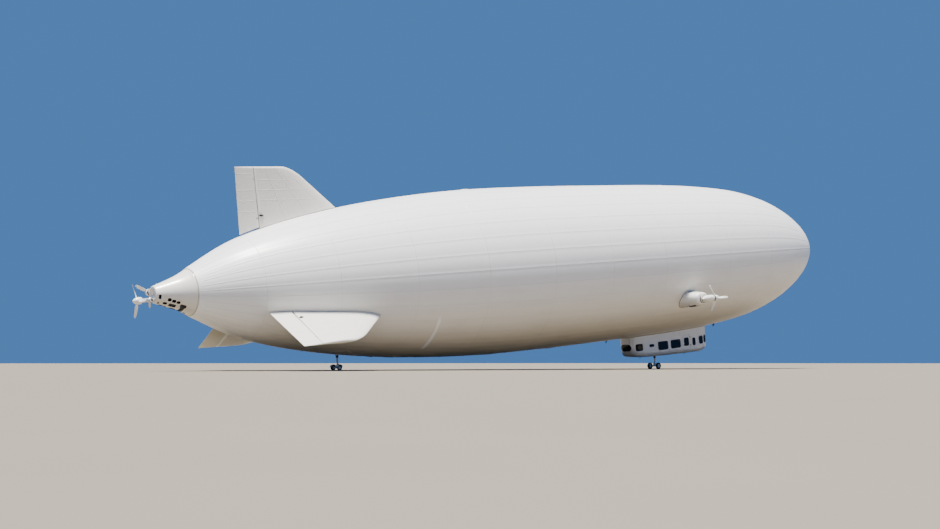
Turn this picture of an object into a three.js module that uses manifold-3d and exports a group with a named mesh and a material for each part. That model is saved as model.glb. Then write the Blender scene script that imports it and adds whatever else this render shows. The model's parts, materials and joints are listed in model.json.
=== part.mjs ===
// Semi-rigid airship, a 1:2 scale model standing on its two castoring gears.
// Every size below is in metres of the full-size craft, and full() turns it into model millimetres.
// Stations run aft from the nose. In the hull's own frame +X is forward, +Y port and +Z up.

import * as THREE from 'three';
import { mergeVertices } from 'three/addons/utils/BufferGeometryUtils.js';
import Module from 'manifold-3d';

const wasm = await Module();
wasm.setup();

const SCALE = 1 / 2;
const full = (metres) => metres * 1000 * SCALE;

// Gaps in model millimetres
const SEAT = 0.3;
const RUNNING = 6;

// Hull: station, radius
const HULL_STATIONS = [
  [0, 0], [0.12, 0.82], [0.6, 1.78], [2, 2.88], [4.5, 4.21], [8, 5.5], [12, 6.36], [17, 6.82],
  [23, 7.03], [30, 7.08], [38, 7.08], [46, 6.9], [53, 6.36], [59, 5.55], [64, 4.52], [67.5, 3.4],
  [70.9, 1.72],
];
const HULL_RINGS = 20;
const HULL_SIDES = 36;
const HULL_WALL = 10;
const STERN_STATION = HULL_STATIONS.at(-1)[0];

// Keel valves: station, outer radius
const VALVES = [
  ['valve_fore', 14.2, 0.42],
  ['valve_middle', 37, 0.45],
  ['valve_aft', 43.9, 0.36],
  ['valve_stern', 53.9, 0.36],
];
const VALVE_DEPTH = 0.16;
const VALVE_RIM = 0.05;
const VALVE_PROUD = 0.03;
const VALVE_SIDES = 16;

// Nose fitting for the mooring mast: distance ahead of the nose, radius
const NOSE_PROFILE = [
  [-0.5, 0], [-0.5, 1.05], [-0.02, 0.5], [0.1, 0.28], [0.16, 0.12], [0.42, 0.12], [0.42, 0],
];
const NOSE_SIDES = 16;

// Fins: an inverted Y, each a tapered foil with its rudder hinged behind it
const FINS = [['top', 0], ['port', -118.9], ['starboard', 118.9]];
const FIN_TIP = 8.95;
const FIN_ROOT_LEADING = 57.9;
const FIN_ROOT_RADIUS = 5.72;
const FIN_TIP_LEADING = 61.7;
const FIN_CORNER = 0.8;
const FIN_HINGE = 65.0;
const FIN_THICK_ROOT = 0.62;
const FIN_THICK_TIP = 0.3;
const FIN_EDGE_ROUND = 0.13;
const FIN_LEVELS = [3.4, 5.6, 8.15, 8.5, 8.78, 8.88, 8.95];
// chord fraction from the leading edge to the hinge line, share of the half thickness
const FOIL = [[0.012, 0.2], [0.05, 0.45], [0.14, 0.76], [0.36, 1], [0.7, 0.84], [1, 0.52]];
const RUDDER_CHORD = 1.45;
const RUDDER_EDGE = 0.012;
const RUDDER_SWING_GAP = 0.14;
const HINGE_LEVELS = [5.1, 8.0];
const HINGE_PLATE = 0.03;
const HINGE_EYE = 0.05;
const HINGE_PIN = 0.022;
const HINGE_PIN_PROUD = 0.06;
const HINGE_REACH = 0.24;

// Side engines: nacelle sections by distance out, half length, half height
const ENGINE_STATION = 24.85;
const ENGINE_HEIGHT = -3.88;
const NACELLE_SECTIONS = [
  [4.9, 0.95, 0.72], [6.3, 0.92, 0.7], [7, 0.84, 0.64], [7.5, 0.8, 0.58], [7.7, 0.66, 0.48],
  [7.76, 0.44, 0.38], [8.02, 0.36, 0.34],
];
const NACELLE_POWER = 2.6;
const NACELLE_SIDES = 16;
const NACELLE_WALL = 0.04;
const NACELLE_HOLLOW_END = 7.58;
const NACELLE_VENTS = [-0.45, -0.15, 0.15, 0.45];
const NACELLE_VENT = { length: 0.2, from: 6.45, to: 7.25, below: 1, top: 0.45 };
const ENGINE_BLOCK = { length: 1.1, from: 6.2, to: 7.3, top: 0.3 };

// Swivelling propeller gearbox: distance ahead of the swivel axis, radius
const SWIVEL_OUT = 8.4;
const GEARBOX_PROFILE = [
  [-0.88, 0], [-0.8, 0.1], [-0.55, 0.21], [-0.1, 0.3], [0.4, 0.3], [0.72, 0.25], [0.72, 0],
];
const COLLAR_RADIUS = 0.29;
const SWIVEL_SHAFT = { radius: 0.13, into: 0.2 };
const DISC_AHEAD = 1.0;

// Propeller blade: share of the radius, chord, twist in degrees, thickness
const BLADE = [
  [0.1, 0.1, 55, 0.09], [0.28, 0.2, 45, 0.055], [0.5, 0.26, 33, 0.04], [0.75, 0.24, 24, 0.028],
  [0.93, 0.18, 19, 0.02], [1, 0.08, 18, 0.012],
];
const BLADE_COUNT = 3;
// Spinner: distance ahead of the disc, radius
const SPINNER = [[-0.26, 0], [-0.26, 0.25], [0.05, 0.24], [0.22, 0.17], [0.34, 0.07], [0.37, 0]];
const SHAFT = { radius: 0.06, into: 0.1 };
const SIDE_PROPELLER_RADIUS = 1.35;
const REAR_PROPELLER_RADIUS = 1.35;
const LATERAL_PROPELLER_RADIUS = 1.1;

// Stern engine housing: station, radius
const STERN_PROFILE = [[70.9, 1.7], [71.4, 1.42], [72.2, 1.08], [73, 0.8], [73.6, 0.6]];
const STERN_WALL = 0.04;
const STERN_SIDES = 24;
const STERN_VENTS = [
  // station, angle from straight down, length, width
  [71.75, -38, 0.4, 0.34], [71.75, 0, 0.4, 0.34], [71.75, 38, 0.4, 0.34],
  [72.45, -30, 0.45, 0.3], [72.45, 30, 0.45, 0.3], [73.1, 0, 0.3, 0.3],
];
const STERN_ENGINE = { from: 71.3, to: 72.4, half: 0.42, top: 0.45 };
const REAR_PIVOT = { station: 73.85, height: -0.35 };
const REAR_DISC = 0.9;
const EAR = { inner: 0.2, thick: 0.06, radius: 0.12 };
const REAR_SWIVEL_RADIUS = 0.17;
const TRUNNION = 0.06;
const REAR_NECK = { start: 0.14, end: 0.16, flange: 0.22 };
const LATERAL_DRIVE = { station: 73.3, height: 0.2, out: 1.25, start: 0.27, end: 0.2 };

// Gondola: station, half width, bottom height
const GONDOLA = [
  [16.58, 0.42, -8.3], [16.66, 0.6, -8.62], [16.9, 0.84, -8.88], [17.4, 1.02, -9.06], [18.2, 1.12, -9.15],
  [22, 1.125, -9.1], [25.8, 1.12, -8.98], [26.5, 1.04, -8.88], [26.9, 0.86, -8.7], [27.1, 0.6, -8.42],
];
const GONDOLA_TOP = -6.5;
const GONDOLA_WALL = 0.05;
const GONDOLA_BILGE = { rise: 0.5, inset: 0.37 };
const GONDOLA_SPLIT = { nose: 18.45, tail: 26.0, floor: -8.86, roof: -7.22 };
// A space that holds the whole gondola, for cutting it into panels
const AROUND = { fore: 16, aft: 28, side: 2, bottom: -10, top: -6 };
const ROOF_THICK = 0.05;
const GLASS_THICK = 0.012;
// Lowest and highest edge of the panes behind the openings
const NOSE_PANE = { bottom: -8.78, top: -7.5 };
const TAIL_PANE = { bottom: -8.5, top: -7.6 };
const SIDE_PANE = { bottom: -8.6, top: -7.62, clear: 0.05, doorClear: 0.14 };
// Side windows: station, length, middle height, height
const SIDE_WINDOWS = [
  [18.95, 0.42, -8.13, 0.72], [21.55, 1.35, -8.13, 0.78], [23.3, 1.35, -8.13, 0.78], [24.85, 0.62, -8, 0.24],
];
const TAIL_WINDOW = { height: -8.02, halfWidth: 0.62, halfHeight: 0.3 };
const TAIL_SIDE_WINDOW = [26.35, 0.5, -8.05, 0.42];
const DOOR = { aft: 20.55, fore: 19.5, top: -7.42, bottom: -8.82 };
const DOOR_WINDOW = [20.02, 0.66, -8.07, 0.76];
const DOOR_KNUCKLES = [-7.66, -8.42];
const DOOR_HINGE_PROUD = 0.045;
const KNUCKLE = { radius: 0.03, height: 0.05, pin: 0.014, gap: 0.003 };
// How near the middle plane the hinge straps reach: into the wall, and over the gap of the door
const STRAP = { into: 1.09, over: 1.137, length: 0.1, gap: 0.03 };
const WINDOW_CORNER = 0.16;
// Nose glazing: windows cut along the axis by distance to port, width, middle height, height
const WINDSHIELD = [[-0.3, 0.5, -7.95, 0.62], [0.3, 0.5, -7.95, 0.62]];
const CHIN = [[-0.3, 0.44, -8.52, 0.26], [0.3, 0.44, -8.52, 0.26]];
const NOSE_SIDE_WINDOWS = [[17.2, 0.42, -8, 0.72], [17.9, 0.62, -8.05, 0.74]];

// Seats: station of each row, with a seat at either side of the aisle
const SEAT_ROWS = [17.95, 19.4, 20.6, 21.5, 22.4, 23.3, 24.2];
const SEAT_OUT = 0.55;
const SEAT_SIZE = { width: 0.46, depth: 0.46, cushion: 0.1, height: 0.42, back: 0.62 };
const RAIL = { width: 0.05, top: -8.98, fore: 0.2, aft: 0.3 };
// The cross piece that ties both rails, and the console ahead of the crew seats
const BRIDGE = { aft: 18.9, fore: 18.82, top: -9.0 };
const CONSOLE = { aft: 17.2, fore: 16.95, half: 0.55, top: -8.4 };
const BELOW_FLOOR = -9.3;

// Gears: the foot of the leg, the axle's height, wheel radius, wheel width and half track
const GEARS = [
  { name: 'main', station: 23.4, legEnd: -9.66, axle: -10.02, wheel: 0.3, width: 0.2, halfTrack: 0.53 },
  { name: 'tail', station: 58.8, legEnd: -6.3, axle: -6.59, wheel: 0.21, width: 0.15, halfTrack: 0.45 },
];
const MAIN_GEAR_SEAT = -9.05;
const GEAR = {
  leg: 0.075, flange: 0.17, flangeThick: 0.04, taper: 0.05, into: 0.1, crown: 0.11, crownHeight: 0.16,
  trail: 0.14, armHalf: 0.09, armEdge: 0.05, beam: 0.06, axle: 0.035, castorPin: 0.04, pinLength: 0.12,
};
const WHEEL_SIDES = 24;

const COLOURS = {
  hull: 0xf1f0ea, fin: 0xf0efe9, pale: 0xe9e8e2, dark: 0x1d1f20, metal: 0x9aa0a4, tyre: 0x1b1b1b,
  glass: 0x18242b, seat: 0x3b4656, brown: 0x6d5b43,
};

// Solids

const welded = (geometry) => {
  const bare = new THREE.BufferGeometry();
  bare.setAttribute('position', geometry.getAttribute('position').clone());
  if (geometry.index) bare.setIndex(geometry.index.clone());
  const merged = mergeVertices(bare, 1e-3);
  const corners = merged.index.array;
  const faces = [];
  for (let i = 0; i < corners.length; i += 3) {
    const face = [corners[i], corners[i + 1], corners[i + 2]];
    if (new Set(face).size === 3) faces.push(face);
  }
  const point = (i) => new THREE.Vector3().fromBufferAttribute(merged.getAttribute('position'), i);
  const volume = faces.reduce((sum, [a, b, c]) => sum + point(a).dot(point(b).cross(point(c))), 0);
  merged.setIndex(faces.flatMap(([a, b, c]) => (volume < 0 ? [a, c, b] : [a, b, c])));
  return merged;
};

const toSolid = (geometry) => {
  const shape = welded(geometry);
  const mesh = new wasm.Mesh({
    numProp: 3,
    vertProperties: new Float32Array(shape.getAttribute('position').array),
    triVerts: new Uint32Array(shape.index.array),
  });
  return new wasm.Manifold(mesh);
};

const toGeometry = (solid) => {
  const mesh = solid.getMesh();
  const geometry = new THREE.BufferGeometry();
  geometry.setAttribute('position', new THREE.BufferAttribute(new Float32Array(mesh.vertProperties), 3));
  geometry.setIndex(new THREE.BufferAttribute(new Uint32Array(mesh.triVerts), 1));
  return geometry;
};

const join = (first, ...others) => others.reduce((sum, solid) => sum.add(solid), first);
const cut = (first, ...others) => others.reduce((rest, solid) => rest.subtract(solid), first);

// A closed skin through rings of equal length, each end closed by a fan
const loft = (rings) => {
  const count = rings[0].length;
  const points = rings.flat();
  const faces = [];
  rings.slice(1).forEach((ring, level) => {
    ring.forEach((unused, i) => {
      const next = (i + 1) % count;
      const low = level * count;
      faces.push(low + i, low + next, low + count + next);
      faces.push(low + i, low + count + next, low + count + i);
    });
  });
  [[0, rings[0], -1], [points.length - count, rings.at(-1), 1]].forEach(([start, ring, side]) => {
    const middle = ring.reduce((sum, p) => sum.add(p), new THREE.Vector3()).divideScalar(count);
    const centre = points.push(middle) - 1;
    ring.forEach((unused, i) => {
      const next = (i + 1) % count;
      faces.push(centre, start + (side > 0 ? i : next), start + (side > 0 ? next : i));
    });
  });
  const geometry = new THREE.BufferGeometry().setFromPoints(points);
  geometry.setIndex(faces);
  return geometry;
};

// A profile of distance along +X and radius, turned about the X axis
const turnedX = (profile, sides, phase = 0) => {
  const points = profile.map(([along, radius]) => new THREE.Vector2(radius, along));
  const geometry = new THREE.LatheGeometry(points, sides, phase);
  geometry.rotateZ(-Math.PI / 2);
  return geometry;
};

const turnedY = (profile, sides, phase = 0) => turnedX(profile, sides, phase).rotateZ(Math.PI / 2);
const turnedZ = (profile, sides, phase = 0) => turnedX(profile, sides, phase).rotateY(-Math.PI / 2);

const rod = (turn, from, to, radius, sides, phase = 0) => (
  turn([[from, 0], [from, radius], [to, radius], [to, 0]], sides, phase)
);

// The hole for a rod of as many sides, its flats clear of the rod's corners at every angle
const bore = (turn, from, to, radius, sides) => (
  toSolid(rod(turn, from, to, (radius + SEAT) / Math.cos(Math.PI / sides), sides, Math.PI / sides))
);

// A box between two stations, two sideways places and two heights, in full-size metres
const block = (aft, fore, low, high, bottom, top) => {
  const box = new THREE.BoxGeometry(full(aft - fore), full(high - low), full(top - bottom));
  return box.translate(-full((aft + fore) / 2), full((low + high) / 2), full((bottom + top) / 2));
};

const place = (geometry, station, out, height) => (
  geometry.translate(-full(station), full(out), full(height))
);

const craft = new THREE.Group();

const add = (name, shape, colour, roughness = 0.5, metalness = 0, parent = craft) => {
  const geometry = shape instanceof THREE.BufferGeometry ? welded(shape) : toGeometry(shape);
  geometry.computeVertexNormals();
  const material = new THREE.MeshStandardMaterial({ color: COLOURS[colour], roughness, metalness });
  const mesh = new THREE.Mesh(geometry, material);
  mesh.name = name;
  parent.add(mesh);
  return mesh;
};

// Hull

const hullCurve = new THREE.CatmullRomCurve3(
  HULL_STATIONS.map(([station, radius]) => new THREE.Vector3(full(station), full(radius), 0)),
  false,
  'centripetal',
);
const hullPoints = Array.from({ length: HULL_RINGS + 1 }, (unused, i) => hullCurve.getPoint(i / HULL_RINGS));

// The hull's outline moved outwards by a distance in model millimetres
const hullOutline = (outwards) => hullPoints.map((point, i) => {
  const before = hullPoints[Math.max(i - 1, 0)];
  const after = hullPoints[Math.min(i + 1, HULL_RINGS)];
  const along = after.clone().sub(before).normalize();
  if (i === 0) return [-point.x + outwards, 0];
  if (i === HULL_RINGS) return [-point.x, point.y + outwards];
  return [-point.x + along.y * outwards, point.y + along.x * outwards];
});

const hullSolid = (outwards) => (
  toSolid(turnedX([...hullOutline(outwards), [-full(STERN_STATION), 0]], HULL_SIDES))
);

const hullCut = hullSolid(SEAT);
const hullClear = hullSolid(full(RUDDER_SWING_GAP));

const hullRadius = (station) => {
  const after = hullPoints.findIndex((point) => point.x >= full(station));
  const [a, b] = [hullPoints[after - 1], hullPoints[after]];
  return (a.y + ((b.y - a.y) * (full(station) - a.x)) / (b.x - a.x)) / full(1);
};

const hullSlope = (station) => Math.atan(hullRadius(station + 0.5) - hullRadius(station - 0.5));

// A piece made about the origin with +Z outwards, set on the keel line
const onKeel = (geometry, station) => {
  geometry.rotateX(Math.PI);
  geometry.rotateY(-hullSlope(station));
  return place(geometry, station, 0, -hullRadius(station));
};

const valveShape = (radius) => {
  const rim = radius - VALVE_RIM;
  const plate = VALVE_RIM - VALVE_DEPTH;
  return turnedZ([
    [full(-VALVE_DEPTH), 0], [full(-VALVE_DEPTH), full(radius)], [full(VALVE_PROUD), full(radius)],
    [full(VALVE_PROUD), full(rim)], [full(plate), full(rim)], [full(plate), 0],
  ], VALVE_SIDES);
};

const makeHull = () => {
  const outer = hullOutline(0);
  const inner = hullOutline(-HULL_WALL).reverse();
  const shell = toSolid(turnedX([...outer, ...inner], HULL_SIDES));
  const holes = VALVES.map(([, station, radius]) => {
    const reach = full(radius);
    const wide = full(radius) + SEAT / Math.cos(Math.PI / VALVE_SIDES);
    return toSolid(onKeel(rod(turnedZ, -reach, reach, wide, VALVE_SIDES), station));
  });
  add('envelope', cut(shell, ...holes), 'hull', 0.45);
  VALVES.forEach(([name, station, radius]) => {
    add(name, toSolid(onKeel(valveShape(radius), station)), 'brown');
  });
};

const makeNose = () => {
  const profile = NOSE_PROFILE.map(([ahead, radius]) => [full(ahead), full(radius)]);
  add('nose_fitting', cut(toSolid(turnedX(profile, NOSE_SIDES)), hullCut), 'pale', 0.4);
};

// Fins and rudders, made upright in the hull's frame and then turned about its axis

const leadingEdge = (level) => {
  const slope = (FIN_TIP_LEADING - FIN_ROOT_LEADING) / (FIN_TIP - FIN_ROOT_RADIUS);
  const straight = FIN_ROOT_LEADING + (level - FIN_ROOT_RADIUS) * slope;
  const rise = Math.max(0, level - (FIN_TIP - FIN_CORNER)) / FIN_CORNER;
  return straight + FIN_CORNER * (1 - Math.sqrt(1 - Math.min(rise, 1) ** 2));
};

const halfThickness = (level) => {
  const share = (level - FIN_ROOT_RADIUS) / (FIN_TIP - FIN_ROOT_RADIUS);
  const plain = FIN_THICK_ROOT + (FIN_THICK_TIP - FIN_THICK_ROOT) * share;
  const rise = Math.max(0, level - (FIN_TIP - FIN_EDGE_ROUND)) / FIN_EDGE_ROUND;
  return (plain / 2) * Math.max(0.12, Math.sqrt(1 - Math.min(rise, 1) ** 2));
};

const hingeRadius = (level) => halfThickness(level) * FOIL.at(-1)[1];

const finPoint = (station, side, level) => new THREE.Vector3(-full(station), full(side), full(level));

const finRing = (level) => {
  const nose = leadingEdge(level);
  const end = FIN_HINGE - hingeRadius(level) - RUNNING / full(1);
  const side = (sign) => FOIL.map(([chord, thick]) => (
    finPoint(nose + (end - nose) * chord, sign * thick * halfThickness(level), level)
  ));
  return [finPoint(nose, 0, level), ...side(1), ...side(-1).reverse()];
};

const rudderRing = (level) => {
  const round = hingeRadius(level);
  const front = Array.from({ length: 7 }, (unused, i) => {
    const angle = (i / 6) * Math.PI;
    return finPoint(FIN_HINGE - round * Math.sin(angle), round * Math.cos(angle), level);
  });
  const edge = Math.min(RUDDER_EDGE, round / 2);
  const back = [-edge, edge].map((side) => finPoint(FIN_HINGE + RUDDER_CHORD, side, level));
  return [...front, ...back];
};

const hingeParts = (level) => {
  const plate = HINGE_PLATE / 2;
  const notch = plate + RUNNING / full(1);
  const back = FIN_HINGE + HINGE_EYE + RUNNING / full(1);
  const front = FIN_HINGE - 0.5;
  const pinReach = plate + HINGE_PIN_PROUD;
  const at = (geometry) => place(geometry, FIN_HINGE, 0, level);
  return {
    plate: toSolid(block(FIN_HINGE, FIN_HINGE - HINGE_REACH, -HINGE_PLATE, HINGE_PLATE,
      level - plate, level + plate)),
    eye: toSolid(at(rod(turnedZ, -full(plate), full(plate), full(HINGE_EYE), 10))),
    pin: toSolid(at(rod(turnedZ, -full(pinReach), full(pinReach), full(HINGE_PIN), 8))),
    notch: toSolid(block(back, front, -0.4, 0.4, level - notch, level + notch)),
    hole: bore(turnedZ, -full(pinReach + 0.02), full(pinReach + 0.02), full(HINGE_PIN), 8)
      .translate([-full(FIN_HINGE), 0, full(level)]),
  };
};

const makeFins = () => FINS.forEach(([name, turn]) => {
  const about = (solid) => solid.rotate([turn, 0, 0]);
  const hinges = HINGE_LEVELS.map(hingeParts);
  const foil = toSolid(loft(FIN_LEVELS.map(finRing)));
  const fin = join(foil, ...hinges.flatMap(({ plate, eye, pin }) => [plate, eye, pin]));
  add(`fin_${name}`, cut(about(fin), hullCut), 'fin', 0.5);
  const blade = toSolid(loft(FIN_LEVELS.map(rudderRing)));
  const rudder = cut(blade, ...hinges.flatMap(({ notch, hole }) => [notch, hole]));
  add(`rudder_${name}`, cut(about(rudder), hullClear), 'fin', 0.5);
});

// Propellers, made about the X axis with the disc at the origin

const bladeShape = (radius) => {
  const ring = ([share, chord, twist, thick]) => {
    const angle = THREE.MathUtils.degToRad(twist);
    const lens = [[-0.5, 0], [-0.25, 0.5], [0.15, 0.5], [0.5, 0], [0.15, -0.5], [-0.25, -0.5]];
    return lens.map(([along, across]) => {
      const side = along * chord;
      const up = across * thick;
      const forward = side * Math.sin(angle) + up * Math.cos(angle);
      const across2 = side * Math.cos(angle) - up * Math.sin(angle);
      return new THREE.Vector3(full(forward), full(across2), full(share * radius));
    });
  };
  return toSolid(loft(BLADE.map(ring)));
};

const propellerShape = (radius, firstAngle) => {
  const spinner = toSolid(turnedX(SPINNER.map(([ahead, r]) => [full(ahead), full(r)]), 14));
  const back = SPINNER[0][0];
  const reach = back - RUNNING / full(1) - SHAFT.into;
  const shaft = toSolid(rod(turnedX, full(reach), full(back + 0.05), full(SHAFT.radius), 10));
  const blade = bladeShape(radius);
  const blades = Array.from({ length: BLADE_COUNT }, (unused, i) => (
    blade.rotate([firstAngle + (i * 360) / BLADE_COUNT, 0, 0])
  ));
  return join(spinner, shaft, ...blades);
};

const shaftBore = (frontFace) => {
  const depth = SHAFT.into + 0.02;
  return bore(turnedX, full(frontFace - depth), full(frontFace + 0.05), full(SHAFT.radius), 10);
};

// Side engines

const nacelleRing = ([out, halfLength, halfHeight], side, inset) => (
  Array.from({ length: NACELLE_SIDES }, (unused, i) => {
    const angle = ((i + 0.5) / NACELLE_SIDES) * 2 * Math.PI;
    const power = (value, half) => (
      Math.sign(value) * Math.abs(value) ** (2 / NACELLE_POWER) * (half - inset)
    );
    const [ahead, up] = [power(Math.cos(angle), halfLength), power(Math.sin(angle), halfHeight)];
    return new THREE.Vector3(full(ahead - ENGINE_STATION), side * full(out), full(ENGINE_HEIGHT + up));
  })
);

const nacelleHollow = (side, inset) => {
  const rows = NACELLE_SECTIONS.filter(([out]) => out < NACELLE_HOLLOW_END);
  const [, endLength, endHeight] = rows.at(-1);
  const all = [...rows.slice(0, -1), [NACELLE_HOLLOW_END - inset, endLength - 0.03, endHeight - 0.03]];
  return toSolid(loft(all.map((row) => nacelleRing(row, side, inset))));
};

const makeSideEngine = (name, side) => {
  const outer = toSolid(loft(NACELLE_SECTIONS.map((row) => nacelleRing(row, side, 0))));
  const vents = NACELLE_VENTS.map((ahead) => {
    const [near, far] = [side * NACELLE_VENT.from, side * NACELLE_VENT.to].sort((a, b) => a - b);
    const station = ENGINE_STATION - ahead;
    const half = NACELLE_VENT.length / 2;
    const [low, high] = [ENGINE_HEIGHT - NACELLE_VENT.below, ENGINE_HEIGHT - NACELLE_VENT.top];
    return toSolid(block(station + half, station - half, near, far, low, high));
  });
  const face = NACELLE_SECTIONS.at(-1)[0];
  const gap = RUNNING / full(1);
  const socket = bore(turnedY, full(side * (face - SWIVEL_SHAFT.into - 0.02)), full(side * (face + 0.1)),
    full(SWIVEL_SHAFT.radius), 14).translate([-full(ENGINE_STATION), 0, full(ENGINE_HEIGHT)]);
  const shell = cut(outer, nacelleHollow(side, NACELLE_WALL), hullCut, ...vents, socket);
  add(`nacelle_${name}`, shell, 'pale', 0.45);

  const room = nacelleHollow(side, NACELLE_WALL + SEAT / full(1));
  const [near, far] = [side * ENGINE_BLOCK.from, side * ENGINE_BLOCK.to].sort((a, b) => a - b);
  const reach = ENGINE_BLOCK.length / 2;
  const engine = toSolid(block(ENGINE_STATION + reach, ENGINE_STATION - reach, near, far,
    ENGINE_HEIGHT - 1, ENGINE_HEIGHT + ENGINE_BLOCK.top)).intersect(room);
  add(`engine_${name}`, engine, 'dark', 0.7, 0.3);

  const body = toSolid(turnedX(GEARBOX_PROFILE.map(([ahead, r]) => [full(ahead), full(r)]), 16));
  const inward = (distance) => -side * full(distance);
  const collar = toSolid(rod(turnedY, 0, inward(SWIVEL_OUT - face - gap), full(COLLAR_RADIUS), 16));
  const stub = toSolid(rod(turnedY, 0, inward(SWIVEL_OUT - face + SWIVEL_SHAFT.into),
    full(SWIVEL_SHAFT.radius), 14));
  const gearbox = cut(join(body, collar, stub), shaftBore(GEARBOX_PROFILE.at(-1)[0]));
  const swivel = new THREE.Group();
  swivel.position.set(-full(ENGINE_STATION), side * full(SWIVEL_OUT), full(ENGINE_HEIGHT));
  craft.add(swivel);
  add(`gearbox_${name}`, gearbox, 'pale', 0.4, 0, swivel);

  const blades = propellerShape(SIDE_PROPELLER_RADIUS, -90 * side);
  const propeller = add(`propeller_${name}`, blades, 'dark', 0.4, 0, swivel);
  propeller.position.x = full(DISC_AHEAD);
};

// Stern housing with the swivelling pusher propeller and the lateral propeller

const sternOutline = (inwards) => (
  STERN_PROFILE.map(([station, radius]) => [-full(station), full(radius - inwards)])
);

const sternSolid = (inwards, endInset) => {
  const outline = sternOutline(inwards);
  const [endX, endRadius] = outline.at(-1);
  const [startX, startRadius] = outline[0];
  const rows = [...outline.slice(0, -1), [endX + full(endInset), endRadius]];
  return toSolid(turnedX([[startX + full(1), 0], [startX + full(1), startRadius], ...rows,
    [endX + full(endInset), 0]], STERN_SIDES));
};

const makeStern = () => {
  const outline = sternOutline(0);
  const [startX, startRadius] = outline[0];
  const [endX] = outline.at(-1);
  const front = [[startX - SEAT, 0], [startX - SEAT, startRadius]];
  const skin = toSolid(turnedX([...front, ...outline.slice(1), [endX, 0]], STERN_SIDES));
  const vents = STERN_VENTS.map(([station, angle, length, width]) => {
    const half = length / 2;
    const slot = block(station + half, station - half, -width / 2, width / 2, -2, -0.2);
    return toSolid(slot.rotateX(THREE.MathUtils.degToRad(angle)));
  });
  const { station, height } = REAR_PIVOT;
  const ears = [-1, 1].map((side) => {
    const [near, far] = [side * EAR.inner, side * (EAR.inner + EAR.thick)].sort((a, b) => a - b);
    const face = STERN_PROFILE.at(-1)[0] - STERN_WALL;
    const arm = toSolid(block(station, face, near, far, height - EAR.radius, height + EAR.radius));
    const eye = rod(turnedY, full(near), full(far), full(EAR.radius), 20);
    return arm.add(toSolid(place(eye, station, 0, height)));
  });
  const eyes = bore(turnedY, -full(0.4), full(0.4), full(TRUNNION), 10)
    .translate([-full(station), 0, full(height)]);
  const housing = cut(join(cut(skin, sternSolid(STERN_WALL, STERN_WALL), ...vents), ...ears), eyes);
  add('stern_housing', housing, 'pale', 0.45);

  const { from, to, half, top } = STERN_ENGINE;
  const room = sternSolid(STERN_WALL + SEAT / full(1), STERN_WALL);
  add('engine_stern', toSolid(block(to, from, -half, half, -2, top)).intersect(room), 'dark', 0.7, 0.3);

  const swivel = new THREE.Group();
  swivel.position.set(-full(station), 0, full(height));
  swivel.rotation.z = Math.PI;
  craft.add(swivel);
  const back = SPINNER[0][0];
  const face = REAR_DISC + back - RUNNING / full(1);
  const gap = RUNNING / full(1);
  const barrelHalf = full(EAR.inner - gap);
  const pinHalf = full(EAR.inner + EAR.thick);
  const barrel = toSolid(rod(turnedY, -barrelHalf, barrelHalf, full(REAR_SWIVEL_RADIUS), 16));
  const pins = toSolid(rod(turnedY, -pinHalf, pinHalf, full(TRUNNION), 10));
  const neck = toSolid(turnedX([[0, 0], [0, full(REAR_NECK.start)], [full(face - 0.1), full(REAR_NECK.end)],
    [full(face), full(REAR_NECK.flange)], [full(face), 0]], 16));
  add('gearbox_rear', cut(join(barrel, pins, neck), shaftBore(face)), 'metal', 0.4, 0.4, swivel);
  const rear = add('propeller_rear', propellerShape(REAR_PROPELLER_RADIUS, -90), 'dark', 0.4, 0, swivel);
  rear.position.x = full(REAR_DISC);

  const lateral = LATERAL_DRIVE;
  const lateralFace = lateral.out + back - gap;
  const drive = turnedX([[0, 0], [0, full(lateral.start)], [full(lateralFace - 0.1), full(lateral.end)],
    [full(lateralFace), full(lateral.end)], [full(lateralFace), 0]], 16);
  const driveSolid = cut(toSolid(drive), shaftBore(lateralFace)).rotate([0, 0, 90])
    .translate([-full(lateral.station), 0, full(lateral.height)]);
  const grown = STERN_PROFILE.map(([at, radius]) => [-full(at), full(radius) + SEAT]);
  const sternCut = toSolid(turnedX([[startX + full(1), 0], ...grown, [endX, 0]], STERN_SIDES));
  add('lateral_drive', cut(driveSolid, sternCut), 'pale', 0.45);
  const sideways = add('propeller_lateral', propellerShape(LATERAL_PROPELLER_RADIUS, 180), 'dark', 0.4);
  sideways.rotation.z = Math.PI / 2;
  sideways.position.set(-full(lateral.station), full(lateral.out), full(lateral.height));
};

// Gondola

const gondolaRing = ([station, halfWidth, bottom], inset) => {
  const wide = halfWidth - inset;
  const low = bottom + inset;
  const corner = Math.min(GONDOLA_BILGE.inset, wide * 0.6);
  const arc = Array.from({ length: 5 }, (unused, i) => {
    const angle = (i / 4) * (Math.PI / 2);
    return [wide - corner + corner * Math.cos(angle), low + GONDOLA_BILGE.rise * (1 - Math.sin(angle))];
  });
  const half = [[wide, GONDOLA_TOP], ...arc];
  const points = [...half, ...half.map(([side, height]) => [-side, height]).reverse()];
  return points.map(([side, height]) => new THREE.Vector3(-full(station), full(side), full(height)));
};

const gondolaSolid = (inset) => {
  const [first, last] = [GONDOLA[0], GONDOLA.at(-1)];
  const moved = GONDOLA.map((row) => {
    if (row === first) return [row[0] + inset, row[1], row[2]];
    if (row === last) return [row[0] - inset, row[1], row[2]];
    return row;
  });
  return toSolid(loft(moved.map((row) => gondolaRing(row, inset))));
};

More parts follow.
